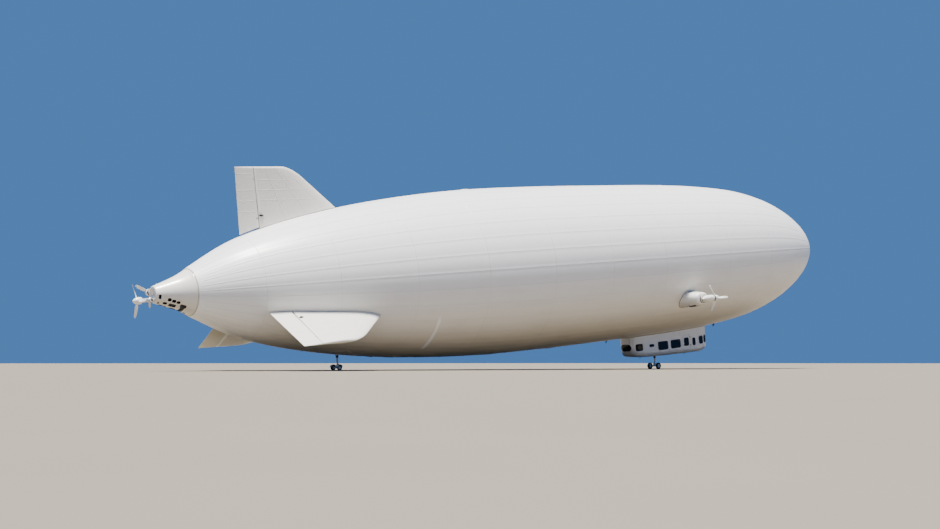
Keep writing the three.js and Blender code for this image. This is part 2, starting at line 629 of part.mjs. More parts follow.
const roundedPrism = (length, height, corner, depth) => {
  const [x, y, r] = [length / 2, height / 2, Math.min(corner, length / 2.01, height / 2.01)];
  const shape = new THREE.Shape();
  shape.moveTo(x - r, -y);
  shape.absarc(x - r, r - y, r, -Math.PI / 2, 0, false);
  shape.absarc(x - r, y - r, r, 0, Math.PI / 2, false);
  shape.absarc(r - x, y - r, r, Math.PI / 2, Math.PI, false);
  shape.absarc(r - x, r - y, r, Math.PI, 1.5 * Math.PI, false);
  const geometry = new THREE.ExtrudeGeometry(shape, { depth, bevelEnabled: false, curveSegments: 2 });
  return geometry.translate(0, 0, -depth / 2);
};

// A window's tool that passes through the side walls, from station, length, middle height and height
const sideTool = ([station, length, height, tall], side, grow = 0) => {
  const prism = roundedPrism(full(length) + grow, full(tall) + grow, full(WINDOW_CORNER), full(1.2));
  prism.rotateX(Math.PI / 2);
  return toSolid(place(prism, station, side * 0.95, height));
};

const frontTool = ([out, width, height, tall], station) => {
  const prism = roundedPrism(full(tall), full(width), full(WINDOW_CORNER), full(1.1));
  prism.rotateY(Math.PI / 2);
  return toSolid(place(prism, station, out, height));
};

const makeGondola = () => {
  const skin = cut(gondolaSolid(0), gondolaSolid(GONDOLA_WALL), hullCut);
  const within = gondolaSolid(GONDOLA_WALL + SEAT / full(1));
  const glassSkin = cut(within, gondolaSolid(GONDOLA_WALL + GLASS_THICK));
  const gap = SEAT / full(1) / 2;
  const { nose, tail, floor, roof } = GONDOLA_SPLIT;
  const region = (aft, fore, bottom, top, low = -AROUND.side, high = AROUND.side) => (
    toSolid(block(aft, fore, low, high, bottom, top))
  );

  const frontHoles = [...WINDSHIELD, ...CHIN].map((row) => frontTool(row, 16.5));
  const sideHoles = [-1, 1].flatMap((side) => NOSE_SIDE_WINDOWS.map((row) => sideTool(row, side)));
  const noseBox = region(nose - gap, AROUND.fore, AROUND.bottom, AROUND.top);
  add('gondola_nose', cut(skin.intersect(noseBox), ...frontHoles, ...sideHoles), 'pale', 0.45);
  const noseGlass = glassSkin.intersect(region(nose - 0.02, AROUND.fore, NOSE_PANE.bottom, NOSE_PANE.top));
  add('glazing_nose', noseGlass, 'glass', 0.1);

  const { height, halfWidth, halfHeight } = TAIL_WINDOW;
  const rearHole = frontTool([0, halfWidth * 2, height, halfHeight * 2], 27.2);
  const tailSides = [-1, 1].map((side) => sideTool(TAIL_SIDE_WINDOW, side));
  const tailBox = region(AROUND.aft, tail + gap, AROUND.bottom, AROUND.top);
  add('gondola_tail', cut(skin.intersect(tailBox), rearHole, ...tailSides), 'pale', 0.45);
  const tailGlass = glassSkin.intersect(region(AROUND.aft, tail + 0.02, TAIL_PANE.bottom, TAIL_PANE.top));
  add('glazing_tail', tailGlass, 'glass', 0.1);

  const floorBox = region(tail - gap, nose + gap, AROUND.bottom, floor - gap);
  add('gondola_floor', skin.intersect(floorBox), 'pale', 0.45);

  const roofPlate = region(tail - gap, nose + gap, roof - ROOF_THICK, roof).intersect(within);
  add('gondola_roof', roofPlate, 'pale', 0.6);

  [['port', 1], ['starboard', -1]].forEach(([name, side]) => {
    const [low, high] = [0, side * AROUND.side].sort((a, b) => a - b);
    const wall = skin.intersect(region(tail - gap, nose + gap, floor + gap, AROUND.top, low, high));
    const { aft, fore, top, bottom } = DOOR;
    const doorRow = [(aft + fore) / 2, aft - fore, (top + bottom) / 2, top - bottom];
    const opening = sideTool(doorRow, side);
    const leaf = wall.intersect(sideTool(doorRow, side, -2 * RUNNING));
    const windows = SIDE_WINDOWS.map((row) => sideTool(row, side));
    const hingeStation = fore - 0.01;
    const hingeOut = side * (1.125 + DOOR_HINGE_PROUD);
    const knuckle = (level, from, to, radius) => {
      const tube = rod(turnedZ, full(from), full(to), radius, 12);
      return toSolid(place(tube, hingeStation, hingeOut, level));
    };
    const strap = (level, from, to, start, end, reach) => {
      const [near, far] = [side * reach, hingeOut].sort((p, q) => p - q);
      return toSolid(block(end, start, near, far, level + from, level + to));
    };
    const half = KNUCKLE.height;
    const split = KNUCKLE.gap;
    const radius = full(KNUCKLE.radius);
    const pin = full(KNUCKLE.pin);
    const fixed = DOOR_KNUCKLES.flatMap((level) => [
      knuckle(level, -half, -split, radius),
      strap(level, -half, -split, fore - STRAP.length, hingeStation, STRAP.into),
      knuckle(level, -half, half, pin),
    ]);
    const moving = DOOR_KNUCKLES.flatMap((level) => [
      knuckle(level, split, half, radius),
      strap(level, split, half, hingeStation, fore + STRAP.length, STRAP.over),
      strap(level, split, half, fore + STRAP.gap, fore + STRAP.length, STRAP.into),
    ]);
    const bores = DOOR_KNUCKLES.map((level) => (
      bore(turnedZ, 0, full(half + 0.01), pin, 12)
        .translate([-full(hingeStation), full(hingeOut), full(level)])
    ));
    add(`gondola_side_${name}`, join(cut(wall, opening, ...windows), ...fixed), 'pale', 0.45);
    const door = cut(join(cut(leaf, sideTool(DOOR_WINDOW, side)), ...moving), ...bores);
    add(`door_${name}`, door, 'pale', 0.45);

    const { bottom: paneLow, top: paneHigh, clear, doorClear } = SIDE_PANE;
    const pane = (from, to) => glassSkin.intersect(region(from, to, paneLow, paneHigh, low, high));
    add(`glazing_${name}`, pane(tail - clear, aft + clear), 'glass', 0.1);
    add(`door_glass_${name}`, pane(aft - doorClear, fore + doorClear), 'glass', 0.1);
  });
};

const makeCabin = () => {
  const floorTop = (station) => {
    const after = GONDOLA.findIndex(([s]) => s >= station);
    const [a, b] = [GONDOLA[after - 1], GONDOLA[after]];
    return a[2] + ((b[2] - a[2]) * (station - a[0])) / (b[0] - a[0]) + GONDOLA_WALL;
  };
  const { width, depth, cushion, height, back } = SEAT_SIZE;
  const room = gondolaSolid(GONDOLA_WALL + SEAT / full(1));
  // The side view of one seat: distance ahead of its middle, height above the floor
  const outline = [
    [-0.1, -0.1], [0.1, -0.1], [0.06, height - cushion], [depth / 2, height - cushion], [depth / 2, height],
    [0.1 - depth / 2, height], [-depth / 2, height + back], [-0.1 - depth / 2, height + back],
    [-depth / 2, height - cushion], [-0.06, height - cushion],
  ];
  const seats = SEAT_ROWS.flatMap((station) => [-1, 1].map((side) => {
    const shape = new THREE.Shape(outline.map(([ahead, up]) => new THREE.Vector2(full(ahead), full(up))));
    const seat = new THREE.ExtrudeGeometry(shape, { depth: full(width), bevelEnabled: false });
    seat.rotateX(Math.PI / 2).translate(0, full(width / 2), 0);
    return toSolid(place(seat, station, side * SEAT_OUT, floorTop(station)));
  }));
  const rails = [-1, 1].map((side) => {
    const start = SEAT_ROWS[0] - RAIL.fore;
    const end = SEAT_ROWS.at(-1) + RAIL.aft;
    const low = side * SEAT_OUT - RAIL.width / 2;
    return toSolid(block(end, start, low, low + RAIL.width, BELOW_FLOOR, RAIL.top));
  });
  const bridge = toSolid(block(BRIDGE.aft, BRIDGE.fore, -SEAT_OUT, SEAT_OUT, BELOW_FLOOR, BRIDGE.top));
  add('seats', join(seats[0], ...seats.slice(1), ...rails, bridge).intersect(room), 'seat', 0.8);
  const { aft, fore, half, top } = CONSOLE;
  const console = toSolid(block(aft, fore, -half, half, BELOW_FLOOR, top)).intersect(room);
  add('instrument_console', console, 'dark', 0.7);
};

// Gears

const gearFrames = GEARS.map((gear) => (
  { ...gear, rest: full(gear.wheel) * Math.cos(Math.PI / WHEEL_SIDES) }
));
const [mainGear, tailGear] = gearFrames;
const wheelRise = full(tailGear.axle - mainGear.axle);
const wheelBase = full(tailGear.station - mainGear.station);
const pitch = Math.atan2(wheelRise, wheelBase)
  + Math.asin((mainGear.rest - tailGear.rest) / Math.hypot(wheelRise, wheelBase));

const makeGear = ({ name, station, legEnd, axle, wheel, width, halfTrack }) => {
  const { leg, flange, flangeThick, taper, into, crown, crownHeight } = GEAR;
  const { trail, armHalf, armEdge, beam, axle: pinRadius, castorPin, pinLength } = GEAR;
  const seatCut = name === 'main' ? gondolaSolid(-SEAT / full(1)) : hullCut;
  const seatHeight = name === 'main' ? MAIN_GEAR_SEAT : -hullRadius(station);
  const under = seatHeight - flangeThick;
  const profile = [
    [full(seatHeight + into), 0], [full(seatHeight + into), full(flange)], [full(under), full(flange)],
    [full(under - taper), full(leg)], [full(legEnd), full(leg)], [full(legEnd), full(castorPin)],
    [full(legEnd - pinLength), full(castorPin)], [full(legEnd - pinLength), 0],
  ];
  const strut = toSolid(turnedZ(profile, 10)).translate([-full(station), 0, 0]);
  add(`${name}_gear_leg`, cut(strut, seatCut), 'pale', 0.4);

  const top = legEnd - RUNNING / full(1);
  const axleStation = station + trail;
  const crownRod = rod(turnedZ, full(top - crownHeight), full(top), full(crown), 12);
  const head = toSolid(place(crownRod, station, 0, 0));
  const arm = toSolid(block(axleStation + armEdge, station - armEdge, -armHalf, armHalf,
    axle - armEdge, top - crownHeight / 2));
  const inner = halfTrack - width / 2 - RUNNING / full(1);
  const bar = toSolid(place(rod(turnedY, -full(inner), full(inner), full(beam), 10), axleStation, 0, axle));
  const axleHole = bore(turnedY, -full(1), full(1), full(pinRadius), 10)
    .translate([-full(axleStation), 0, full(axle)]);
  const castorHole = bore(turnedZ, full(legEnd - pinLength - 0.02), full(top + 0.1), full(castorPin), 10)
    .translate([-full(station), 0, 0]);
  add(`${name}_gear_fork`, cut(join(head, arm, bar), axleHole, castorHole), 'metal', 0.4, 0.5);

  const half = width / 2;
  const tyreProfile = [[-half, 0], [-half, 0.8], [-half * 0.6, 1], [half * 0.6, 1], [half, 0.8], [half, 0]];
  const disc = turnedY(tyreProfile.map(([along, share]) => [full(along), full(wheel * share)]), WHEEL_SIDES);
  const wheels = [-1, 1].map((side) => toSolid(disc.clone()).translate([0, side * full(halfTrack), 0]));
  const shaft = toSolid(rod(turnedY, -full(halfTrack), full(halfTrack), full(pinRadius), 10));
  const pair = add(`${name}_wheels`, join(wheels[0], wheels[1], shaft), 'tyre', 0.85);
  pair.position.set(-full(axleStation), 0, full(axle));
  pair.rotation.y = pitch + Math.PI / WHEEL_SIDES;
};

makeHull();
makeNose();
makeFins();
makeSideEngine('port', 1);
makeSideEngine('starboard', -1);
makeStern();
makeGondola();
makeCabin();
gearFrames.forEach(makeGear);

// Parked on the gears with the nose up, centred over the origin and standing on the plane z = 0
craft.rotation.y = -pitch;
craft.updateMatrixWorld(true);
const box = new THREE.Box3().setFromObject(craft, true);
craft.position.set(-(box.min.x + box.max.x) / 2, -(box.min.y + box.max.y) / 2, -box.min.z);

const group = new THREE.Group();
group.add(craft);

export default group;
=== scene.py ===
# %% [markdown]
# # A semi-rigid airship parked on its gears
# The construction model is loaded first. It holds the true sizes, the bodies and the joints, and it is
# never moved. Every piece made below is finer than the plain solid that it stands for, rides on the same
# body, and stays inside the same outline.

# %% Load the frame
import json
import math
from bisect import bisect
import bmesh
import bpy
from mathutils import Matrix, Vector
from mathutils.bvhtree import BVHTree


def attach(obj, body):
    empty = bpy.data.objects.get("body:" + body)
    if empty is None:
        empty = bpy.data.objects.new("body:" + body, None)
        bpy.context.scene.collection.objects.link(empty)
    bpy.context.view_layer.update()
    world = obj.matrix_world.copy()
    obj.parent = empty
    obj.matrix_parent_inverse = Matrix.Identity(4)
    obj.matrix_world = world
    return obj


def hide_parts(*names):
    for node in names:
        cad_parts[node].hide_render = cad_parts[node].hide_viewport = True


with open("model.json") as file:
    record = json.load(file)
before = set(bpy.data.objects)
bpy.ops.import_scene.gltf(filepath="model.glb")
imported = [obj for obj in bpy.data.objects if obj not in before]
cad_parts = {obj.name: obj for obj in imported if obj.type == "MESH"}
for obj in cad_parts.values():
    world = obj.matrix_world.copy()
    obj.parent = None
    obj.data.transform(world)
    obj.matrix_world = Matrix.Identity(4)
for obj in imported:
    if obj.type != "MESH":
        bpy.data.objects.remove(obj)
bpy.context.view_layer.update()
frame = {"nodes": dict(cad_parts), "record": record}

# %% [markdown]
# ## The craft's own axes
# An airship is drawn by stations: metres aft of the nose, metres out to port, metres up from the hull's
# axis. The model is half size and stands with its nose a little high, so one matrix turns those full-size
# drawings into places on the floor. It is worked out from the mooring face, which the record gives.

# %% Axes from the mooring face
SCALE = 0.5
MOORING_AHEAD = 0.42
SIDES = {"port": 1, "starboard": -1}
BOTH = tuple(SIDES.values())

shift = Matrix.Translation
mooring = frame["record"]["mounts"][0]
FORWARD = Vector(mooring["axis"])
NOSE = Vector(mooring["pos_m"]) - FORWARD * MOORING_AHEAD * SCALE
PITCH = math.atan2(FORWARD.z, FORWARD.x)
CRAFT = shift(NOSE) @ Matrix.Rotation(-PITCH, 4, "Y") @ Matrix.Scale(SCALE, 4)


def at(station, out, height):
    """A point of the craft: aft of the nose, out to port, up from the axis, in full-size metres."""
    return Vector((-station, out, height))


print("nose up by", round(math.degrees(PITCH), 2), "degrees")

# %% [markdown]
# ## Shapes
# Every piece starts as a list of points and a list of faces, made by small functions. Plain lists are easy
# to move, mirror and join before Blender sees them, and a piece made of a thousand small parts is still
# one mesh. A grid of rows is the plainest: rings closed round make a tube, open rows make a sheet.


# %% Points and faces
class Shape:
    """Points and faces of one piece, in the craft's full-size metres. A cut marks the faces it leaves."""

    def __init__(self, points, faces, marks=None):
        self.points = points
        self.faces = faces
        self.marks = marks or [0] * len(faces)

    def moved(self, matrix):
        return Shape([matrix @ point for point in self.points], self.faces, self.marks)

    def sided(self, side):
        """The shape itself to port, its mirror image to starboard."""
        if side == 1:
            return self
        points = [Vector((p.x, -p.y, p.z)) for p in self.points]
        return Shape(points, [tuple(reversed(face)) for face in self.faces], self.marks)

    def part(self, mark):
        """Only the faces with one mark."""
        faces = [face for face, own in zip(self.faces, self.marks) if own == mark]
        used = sorted({i for face in faces for i in face})
        place = {old: new for new, old in enumerate(used)}
        return Shape([self.points[i] for i in used], [tuple(place[i] for i in face) for face in faces])


def joined(shapes):
    """Many shapes as one."""
    points, faces, marks = [], [], []
    for shape in shapes:
        start = len(points)
        points.extend(shape.points)
        faces.extend(tuple(i + start for i in face) for face in shape.faces)
        marks.extend(shape.marks)
    return Shape(points, faces, marks)


def grid(rows, wrap=True, caps=True):
    """A skin through rows of equally many points, closed round each row where wrap is set."""
    count = len(rows[0])
    points = [Vector(point) for row in rows for point in row]
    faces = []
    for low in range(0, len(points) - count, count):
        for i in range(count if wrap else count - 1):
            after = (i + 1) % count
            faces.append((low + i, low + after, low + count + after, low + count + i))
    if caps:
        faces.append(tuple(reversed(range(count))))
        faces.append(tuple(range(len(points) - count, len(points))))
    return Shape(points, faces)


def sheet(rows):
    """A skin that stays open at all four edges."""
    return grid(rows, wrap=False, caps=False)


print("a closed tube of six sides has", len(grid([[(0, 0, 0)] * 6, [(0, 0, 1)] * 6]).faces), "faces")

# %% [markdown]
# ## Turned and swept shapes
# Most fittings of an aircraft are turned on a lathe or bent from tube. A profile of radius and height,
# carried round an axis, gives the first kind, and a ring carried along a path gives the second.


# %% Lathe and pipe
def compass(count):
    """The cosine and sine of equal turns round a circle."""
    turns = [2 * math.pi * i / count for i in range(count)]
    return [(math.cos(angle), math.sin(angle)) for angle in turns]


def from_net(net):
    """A shape read from Blender's editable mesh, which is then freed."""
    net.verts.index_update()
    points = [v.co.copy() for v in net.verts]
    faces = [tuple(v.index for v in face.verts) for face in net.faces]
    net.free()
    return Shape(points, faces)


def welded(shape, distance=1e-5):
    """Points that coincide become one, and faces that lost their area go."""
    net = bmesh.new()
    corners = [net.verts.new(point) for point in shape.points]
    for face in shape.faces:
        try:
            net.faces.new([corners[i] for i in face])
        except ValueError:
            continue
    bmesh.ops.remove_doubles(net, verts=net.verts, dist=distance)
    bmesh.ops.dissolve_degenerate(net, edges=net.edges, dist=distance)
    return from_net(net)


def turned(profile, sides=48):
    """A profile of radius and height, turned about the Z axis. It starts and ends on the axis, or closes."""
    rows = [[(radius * c, radius * s, height) for c, s in compass(sides)] for radius, height in profile]
    return welded(grid(rows, caps=False))


print("a turned cone has", len(turned([(0, 0), (1, 0), (0, 1)]).faces), "faces")

# %% [markdown]
# ## Bars and pipes
# Shafts, rods, rails, seals and beads are all round sections along a line. A bar is turned and laid between
# two points. A pipe carries its section along a path and turns it as little as it can at each bend.


# %% Bars and pipes
def facing(place, direction):
    """A matrix that sets the origin at a place and turns +Z to a direction."""
    return shift(place) @ Vector(direction).to_track_quat("Z", "Y").to_matrix().to_4x4()


AHEAD, AFT, TO_PORT, TO_STARBOARD = [
    facing((0, 0, 0), way) for way in ((1, 0, 0), (-1, 0, 0), (0, 1, 0), (0, -1, 0))
]


def bar(start, end, radius, sides=16, chamfer=0.15):
    """A round bar between two points, its rims softened."""
    start, end = Vector(start), Vector(end)
    length = (end - start).length
    soft = min(radius * chamfer, length / 4)
    rim = [(radius - soft, 0), (radius, soft), (radius, length - soft), (radius - soft, length)]
    return turned([(0, 0), *rim, (0, length)], sides).moved(facing(start, end - start))


def pipe(path, radius, sides=8, closed=False, flat=1.0):
    """A round or flattened bead along a path."""
    path = [Vector(p) for p in path]
    count = len(path)
    rows = []
    side = None
    for i, point in enumerate(path):
        before = path[i - 1] if i or closed else point
        after = path[(i + 1) % count] if i < count - 1 or closed else point
        along = (after - before).normalized()
        if side is None:
            side = along.orthogonal().normalized()
        side = (side - along * side.dot(along)).normalized()
        over = along.cross(side)
        rows.append([point + side * radius * c + over * radius * flat * s for c, s in compass(sides)])
    if closed:
        rows.append(rows[0])
        return welded(grid(rows, caps=False))
    return grid(rows)


print("a round bar has", len(bar((0, 0, 0), (0, 0, 1), 0.1).faces), "faces")

# %% [markdown]
# ## Boxes, outlines and bolts
# No real edge is knife-sharp, so even a small block gets its edges rounded, which gives each a thin
# highlight. Windows and vents start as rounded rectangles, and bolt heads come in rings.


# %% Boxes and outlines
def prism(outline, offset):
    """An outline of points pushed along a vector."""
    outline = [Vector(p) for p in outline]
    return grid([outline, [p + Vector(offset) for p in outline]])


def soft_box(size, radius, segments=2):
    """A box about the origin with rounded edges."""
    net = bmesh.new()
    bmesh.ops.create_cube(net, size=1.0)
    bmesh.ops.scale(net, vec=Vector(size), verts=net.verts)
    bmesh.ops.bevel(net, geom=net.edges, offset=radius, segments=segments, profile=0.5, affect="EDGES")
    return from_net(net)


def box_between(low, high, radius=0.01, segments=2):
    """A rounded box between two opposite corners."""
    low, high = Vector(low), Vector(high)
    size = [max(abs(high[i] - low[i]), 1e-4) for i in range(3)]
    return soft_box(size, min(radius, min(size) * 0.4), segments).moved(shift((low + high) / 2))


def rounded_outline(width, height, corner, steps=6):
    """Points of a rounded rectangle about the origin, as pairs."""
    x, y = width / 2, height / 2
    r = min(corner, x * 0.99, y * 0.99)
    outline = []
    for turn, (cx, cy) in enumerate([(x - r, y - r), (r - x, y - r), (r - x, r - y), (x - r, r - y)]):
        for i in range(steps + 1):
            angle = (turn + i / steps) * math.pi / 2
            outline.append((cx + r * math.cos(angle), cy + r * math.sin(angle)))
    return outline


def bolts(centre, direction, ring, count, radius, height):
    """A ring of six-sided bolt heads about a direction."""
    turn = facing(centre, direction)
    head = turned([(0, 0), (radius, 0), (radius, height * 0.7), (radius * 0.8, height), (0, height)], 6)
    return joined([head.moved(turn @ shift((ring * c, ring * s, 0))) for c, s in compass(count)])


print("a ring of six bolts has", len(bolts((0, 0, 0), (0, 0, 1), 0.1, 6, 0.01, 0.01).faces), "faces")

# %% [markdown]
# ## Cutting one shape with another
# Windows, vents and pits are cut with Blender's own Boolean modifier, in its exact mode. The two shapes
# become objects for a moment, the cut result is read back as a shape, and the helpers are deleted.


# %% Boolean cuts
def as_object(shape, name):
    """A mesh object in the scene, all its faces turned outwards."""
    mesh = bpy.data.meshes.new(name)
    mesh.from_pydata(shape.points, [], shape.faces)
    net = bmesh.new()
    net.from_mesh(mesh)
    bmesh.ops.recalc_face_normals(net, faces=net.faces)
    net.to_mesh(mesh)
    net.free()
    made = bpy.data.objects.new(name, mesh)
    bpy.context.scene.collection.objects.link(made)
    return made


def carved(shape, tool, operation="DIFFERENCE"):
    """The shape less the tool, or with INTERSECT what the two share. Faces left by the tool get mark 1."""
    body, cutter = as_object(shape, "carve_body"), as_object(tool, "carve_tool")
    for helper, marks in ((body, shape.marks), (cutter, [1] * len(tool.faces))):
        for _ in range(2):
            helper.data.materials.append(None)
        helper.data.polygons.foreach_set("material_index", marks)
    step = body.modifiers.new("carve", "BOOLEAN")
    step.operation = operation
    step.solver = "EXACT"
    step.object = cutter
    done = body.evaluated_get(bpy.context.evaluated_depsgraph_get())
    mesh = done.to_mesh()
    faces = [tuple(p.vertices) for p in mesh.polygons]
    result = Shape([v.co.copy() for v in mesh.vertices], faces, [p.material_index for p in mesh.polygons])
    done.to_mesh_clear()
    for helper in (body, cutter):
        mesh = helper.data
        bpy.data.objects.remove(helper)
        bpy.data.meshes.remove(mesh)
    return result


def feeler(shape):
    """A function that finds where a straight line from a point first meets the shape."""
    tree = BVHTree.FromPolygons(shape.points, shape.faces)
    return lambda start, direction: tree.ray_cast(Vector(start), Vector(direction))[0]


print("from above a box is met at", feeler(soft_box((1, 1, 1), 0.1))((0, 0, 5), (0, 0, -1)).z)

# %% [markdown]
# ## From a shape to a piece
# A piece is a mesh with one finish. It rides on a body of the construction model, most often the airframe,
# and it may stand for a plain solid, which is then hidden.


# %% Pieces
def make(name, shape, finish, stands_for=(), body="airframe", smooth=35):
    """A piece in the scene: the shape placed on the floor, finished, and riding on its body."""
    piece = as_object(shape.moved(CRAFT), name)
    piece.data.shade_smooth()
    piece.data.set_sharp_from_angle(angle=math.radians(smooth))
    piece.data.materials.append(finish)
    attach(piece, body)
    if stands_for:
        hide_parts(*stands_for)
    print(name, sum(len(face.vertices) - 2 for face in piece.data.polygons), "triangles")
    return piece


# %% [markdown]
# ## Smooth curves through short tables
# The drawings give a few sections only. A monotone curve through them never swings past its points, so
# the fine piece stays on the same sections as the plain solid.


# %% Curves
def flowing(table, column):
    """A smooth value between the rows of a table whose first column rises."""
    xs = [row[0] for row in table]
    ys = [row[column] for row in table]
    steps = [(ys[i + 1] - ys[i]) / (xs[i + 1] - xs[i]) for i in range(len(xs) - 1)]
    slopes = [steps[0]]
    slopes += [0 if a * b <= 0 else 2 * a * b / (a + b) for a, b in zip(steps, steps[1:])]
    slopes.append(steps[-1])

    def value(x):
        x = min(max(x, xs[0]), xs[-1])
        i = max(0, min(bisect(xs, x) - 1, len(xs) - 2))
        width = xs[i + 1] - xs[i]
        t = (x - xs[i]) / width
        start = (1 + 2 * t) * (1 - t) ** 2 * ys[i] + t * (1 - t) ** 2 * width * slopes[i]
        end = t * t * (3 - 2 * t) * ys[i + 1] + t * t * (t - 1) * width * slopes[i + 1]
        return start + end

    return value


def spaced(start, end, count):
    """Places at equal steps, both ends among them."""
    return [start + (end - start) * i / (count - 1) for i in range(count)]


def crowded(start, end, count):
    """Places that crowd together near both ends."""
    return [start + (end - start) * (1 - math.cos(math.pi * i / (count - 1))) / 2 for i in range(count)]


print("halfway up a rising curve", round(flowing([(0, 0), (1, 1), (2, 4)], 1)(1.5), 2))

# %% [markdown]
# ## Shader maths in plain Python
# A material is a net of nodes. Wrapping a socket in a small class lets a mask be written as an expression,
# and each sign adds its own Math node.


# %% Values
class Value:
    """A number that changes over the surface."""

    def __init__(self, finish, socket):
        self.finish = finish
        self.socket = socket

    def maths(self, operation, *inputs):
        found = self.finish.node("ShaderNodeMath", {"operation": operation}, dict(enumerate(inputs)))
        return Value(self.finish, found.outputs[0])

    def __add__(self, other):
        return self.maths("ADD", self, other)

    def __sub__(self, other):
        return self.maths("SUBTRACT", self, other)

    def __rsub__(self, other):
        return self.maths("SUBTRACT", other, self)

    def __mul__(self, other):
        return self.maths("MULTIPLY", self, other)

    def __truediv__(self, other):
        return self.maths("DIVIDE", self, other)

    def rise(self, low, high):
        """0 below low, 1 above high, and a soft step between."""
        settings = {"interpolation_type": "SMOOTHSTEP", "clamp": True}
        inputs = {"Value": self, "From Min": low, "From Max": high, "To Min": 0.0, "To Max": 1.0}
        return Value(self.finish, self.finish.node("ShaderNodeMapRange", settings, inputs).outputs[0])


print("a value has", sum(callable(part) for part in vars(Value).values()), "methods")

# %% [markdown]
# ## One class for every finish
# Each finish is a principled shader with a few nodes before it. One method adds any node, and short ones
# name the steps that come back: where a point is, grain, a blend of two colours, and small relief. Colours
# are blended with Mix nodes, which keep their hue.


# %% Finishes
class Finish:
    """One material, built from the principled shader."""

    def __init__(self, name, **constants):
        self.material = bpy.data.materials.new(name)
        self.material.use_nodes = True
        self.tree = self.material.node_tree
        self.shader = self.tree.nodes["Principled BSDF"]
        self.set(**constants)

    def put(self, socket, value):
        if isinstance(value, Value):
            value = value.socket
        if isinstance(value, bpy.types.NodeSocket):
            self.tree.links.new(value, socket)
        elif isinstance(value, (tuple, list)) and socket.type == "RGBA":
            socket.default_value = (*value[:3], 1.0)
        else:
            socket.default_value = value

    def node(self, kind, settings=None, inputs=None):
        """Any node: its settings first, then its sockets."""
        made = self.tree.nodes.new(kind)
        for key, value in (settings or {}).items():
            setattr(made, key, value)
        for key, value in (inputs or {}).items():
            self.put(made.inputs[key], value)
        return made

    def place(self):
        """Where the surface point is, in model metres, moving with its piece."""
        return self.node("ShaderNodeTexCoord").outputs["Object"]

    def drawing(self):
        """Where it is in the craft's full-size drawing."""
        settings = {"vector_type": "TEXTURE"}
        scale = (SCALE, SCALE, SCALE)
        inputs = {"Vector": self.place(), "Location": tuple(NOSE), "Rotation": (0, -PITCH, 0), "Scale": scale}
        return self.node("ShaderNodeMapping", settings, inputs).outputs[0]

    def parts(self, vector):
        found = self.node("ShaderNodeSeparateXYZ", inputs={0: vector})
        return [Value(self, output) for output in found.outputs]

    def stretched(self, vector, scale):
        settings = {"operation": "MULTIPLY"}
        return self.node("ShaderNodeVectorMath", settings, {0: vector, 1: scale}).outputs[0]

    def noise(self, vector, scale, detail=3.0, roughness=0.5):
        inputs = {"Vector": vector, "Scale": scale, "Detail": detail, "Roughness": roughness}
        return Value(self, self.node("ShaderNodeTexNoise", inputs=inputs).outputs["Fac"])

    def cells(self, vector, scale):
        found = self.node("ShaderNodeTexVoronoi", inputs={"Vector": vector, "Scale": scale})
        return Value(self, found.outputs["Distance"])

    def mix(self, first, second, share):
        return self.node("ShaderNodeMix", {"data_type": "RGBA"}, {0: share, 6: first, 7: second}).outputs[2]

    def bump(self, height, distance, strength):
        inputs = {"Height": height, "Distance": distance, "Strength": strength}
        self.put(self.shader.inputs["Normal"], self.node("ShaderNodeBump", inputs=inputs).outputs[0])

    def set(self, **sockets):
        for name, value in sockets.items():
            self.put(self.shader.inputs[name.replace("_", " ")], value)
        return self.material


def scaled(colour, by):
    """A colour made darker or lighter."""
    return tuple(part * by for part in colour)


print("a colour at half strength", scaled((0.8, 0.6, 0.4), 0.5))

# %% [markdown]
# ## The envelope's finish
# The envelope is a white laminate film, glossy but not mirror-like, greyed a little where each gore was
# cut from another roll, and dusty beneath. Its colour also carries painted shade: a slow blend from white
# at the widest line of the hull to a warm brown at the keel, for the shade and the light off the ground.

# %% Envelope film
GORES = 32
WIDEST_RADIUS = 7.08
FILM_WHITE = (0.88, 0.885, 0.88)
# the film's painted shade at the keel: darker and warmer, for the shade and the light off the ground
FILM_BELLY_SHADE = (0.58, 0.505, 0.375)
FILM_DUST = (0.46, 0.40, 0.30)
ROLL_GREY = (0.78, 0.79, 0.80)


def laminate(name, white, belly_shade_tone, wrinkle):
    """Film in the hull's own drawing: lobes puckered at the seams, a roll tint for each gore, belly dust,
    painted shade beneath.
    """
    finish = Finish(name, Coat_Roughness=0.25, Specular_IOR_Level=0.45)
    drawing = finish.drawing()
    _, across, up = finish.parts(drawing)
    belly = (0.0 - up / WIDEST_RADIUS).rise(-0.05, 1.0)
    around = across.maths("ARCTAN2", across, 0.0 - up) * (GORES / (2 * math.pi))
    gore = around.maths("FLOOR", around)
    tint = finish.node("ShaderNodeTexWhiteNoise", {"noise_dimensions": "1D"}, {"W": gore})
    roll = Value(finish, tint.outputs["Value"])
    streaks = finish.noise(finish.stretched(drawing, (0.12, 1.0, 1.0)), 1.6, 5.0, 0.6)
    clouds = finish.noise(drawing, 0.35, 4.0)
    # painted shade: white at the widest line, the belly shade tone at the keel
    colour = finish.mix(white, belly_shade_tone, belly)
    dust = (clouds * streaks * 1.6).rise(0.3, 0.8) * (belly * 0.30 + 0.05)
    colour = finish.mix(colour, FILM_DUST, dust)
    colour = finish.mix(colour, ROLL_GREY, roll * 0.10)
    seam = around.maths("PINGPONG", around, 0.5)
    near_seam = 1.0 - seam.rise(0.0, 0.16)
    pucker = finish.noise(finish.stretched(drawing, (2.2, 0.6, 0.6)), 1.0, 2.0) * near_seam
    weave = finish.noise(finish.place(), 260.0, 1.0)
    finish.bump(pucker * 0.8 + clouds * 0.5 + weave * 0.015, wrinkle, 0.55)
    return finish.set(Base_Color=colour, Roughness=streaks * 0.22 + 0.30, Coat_Weight=0.25)
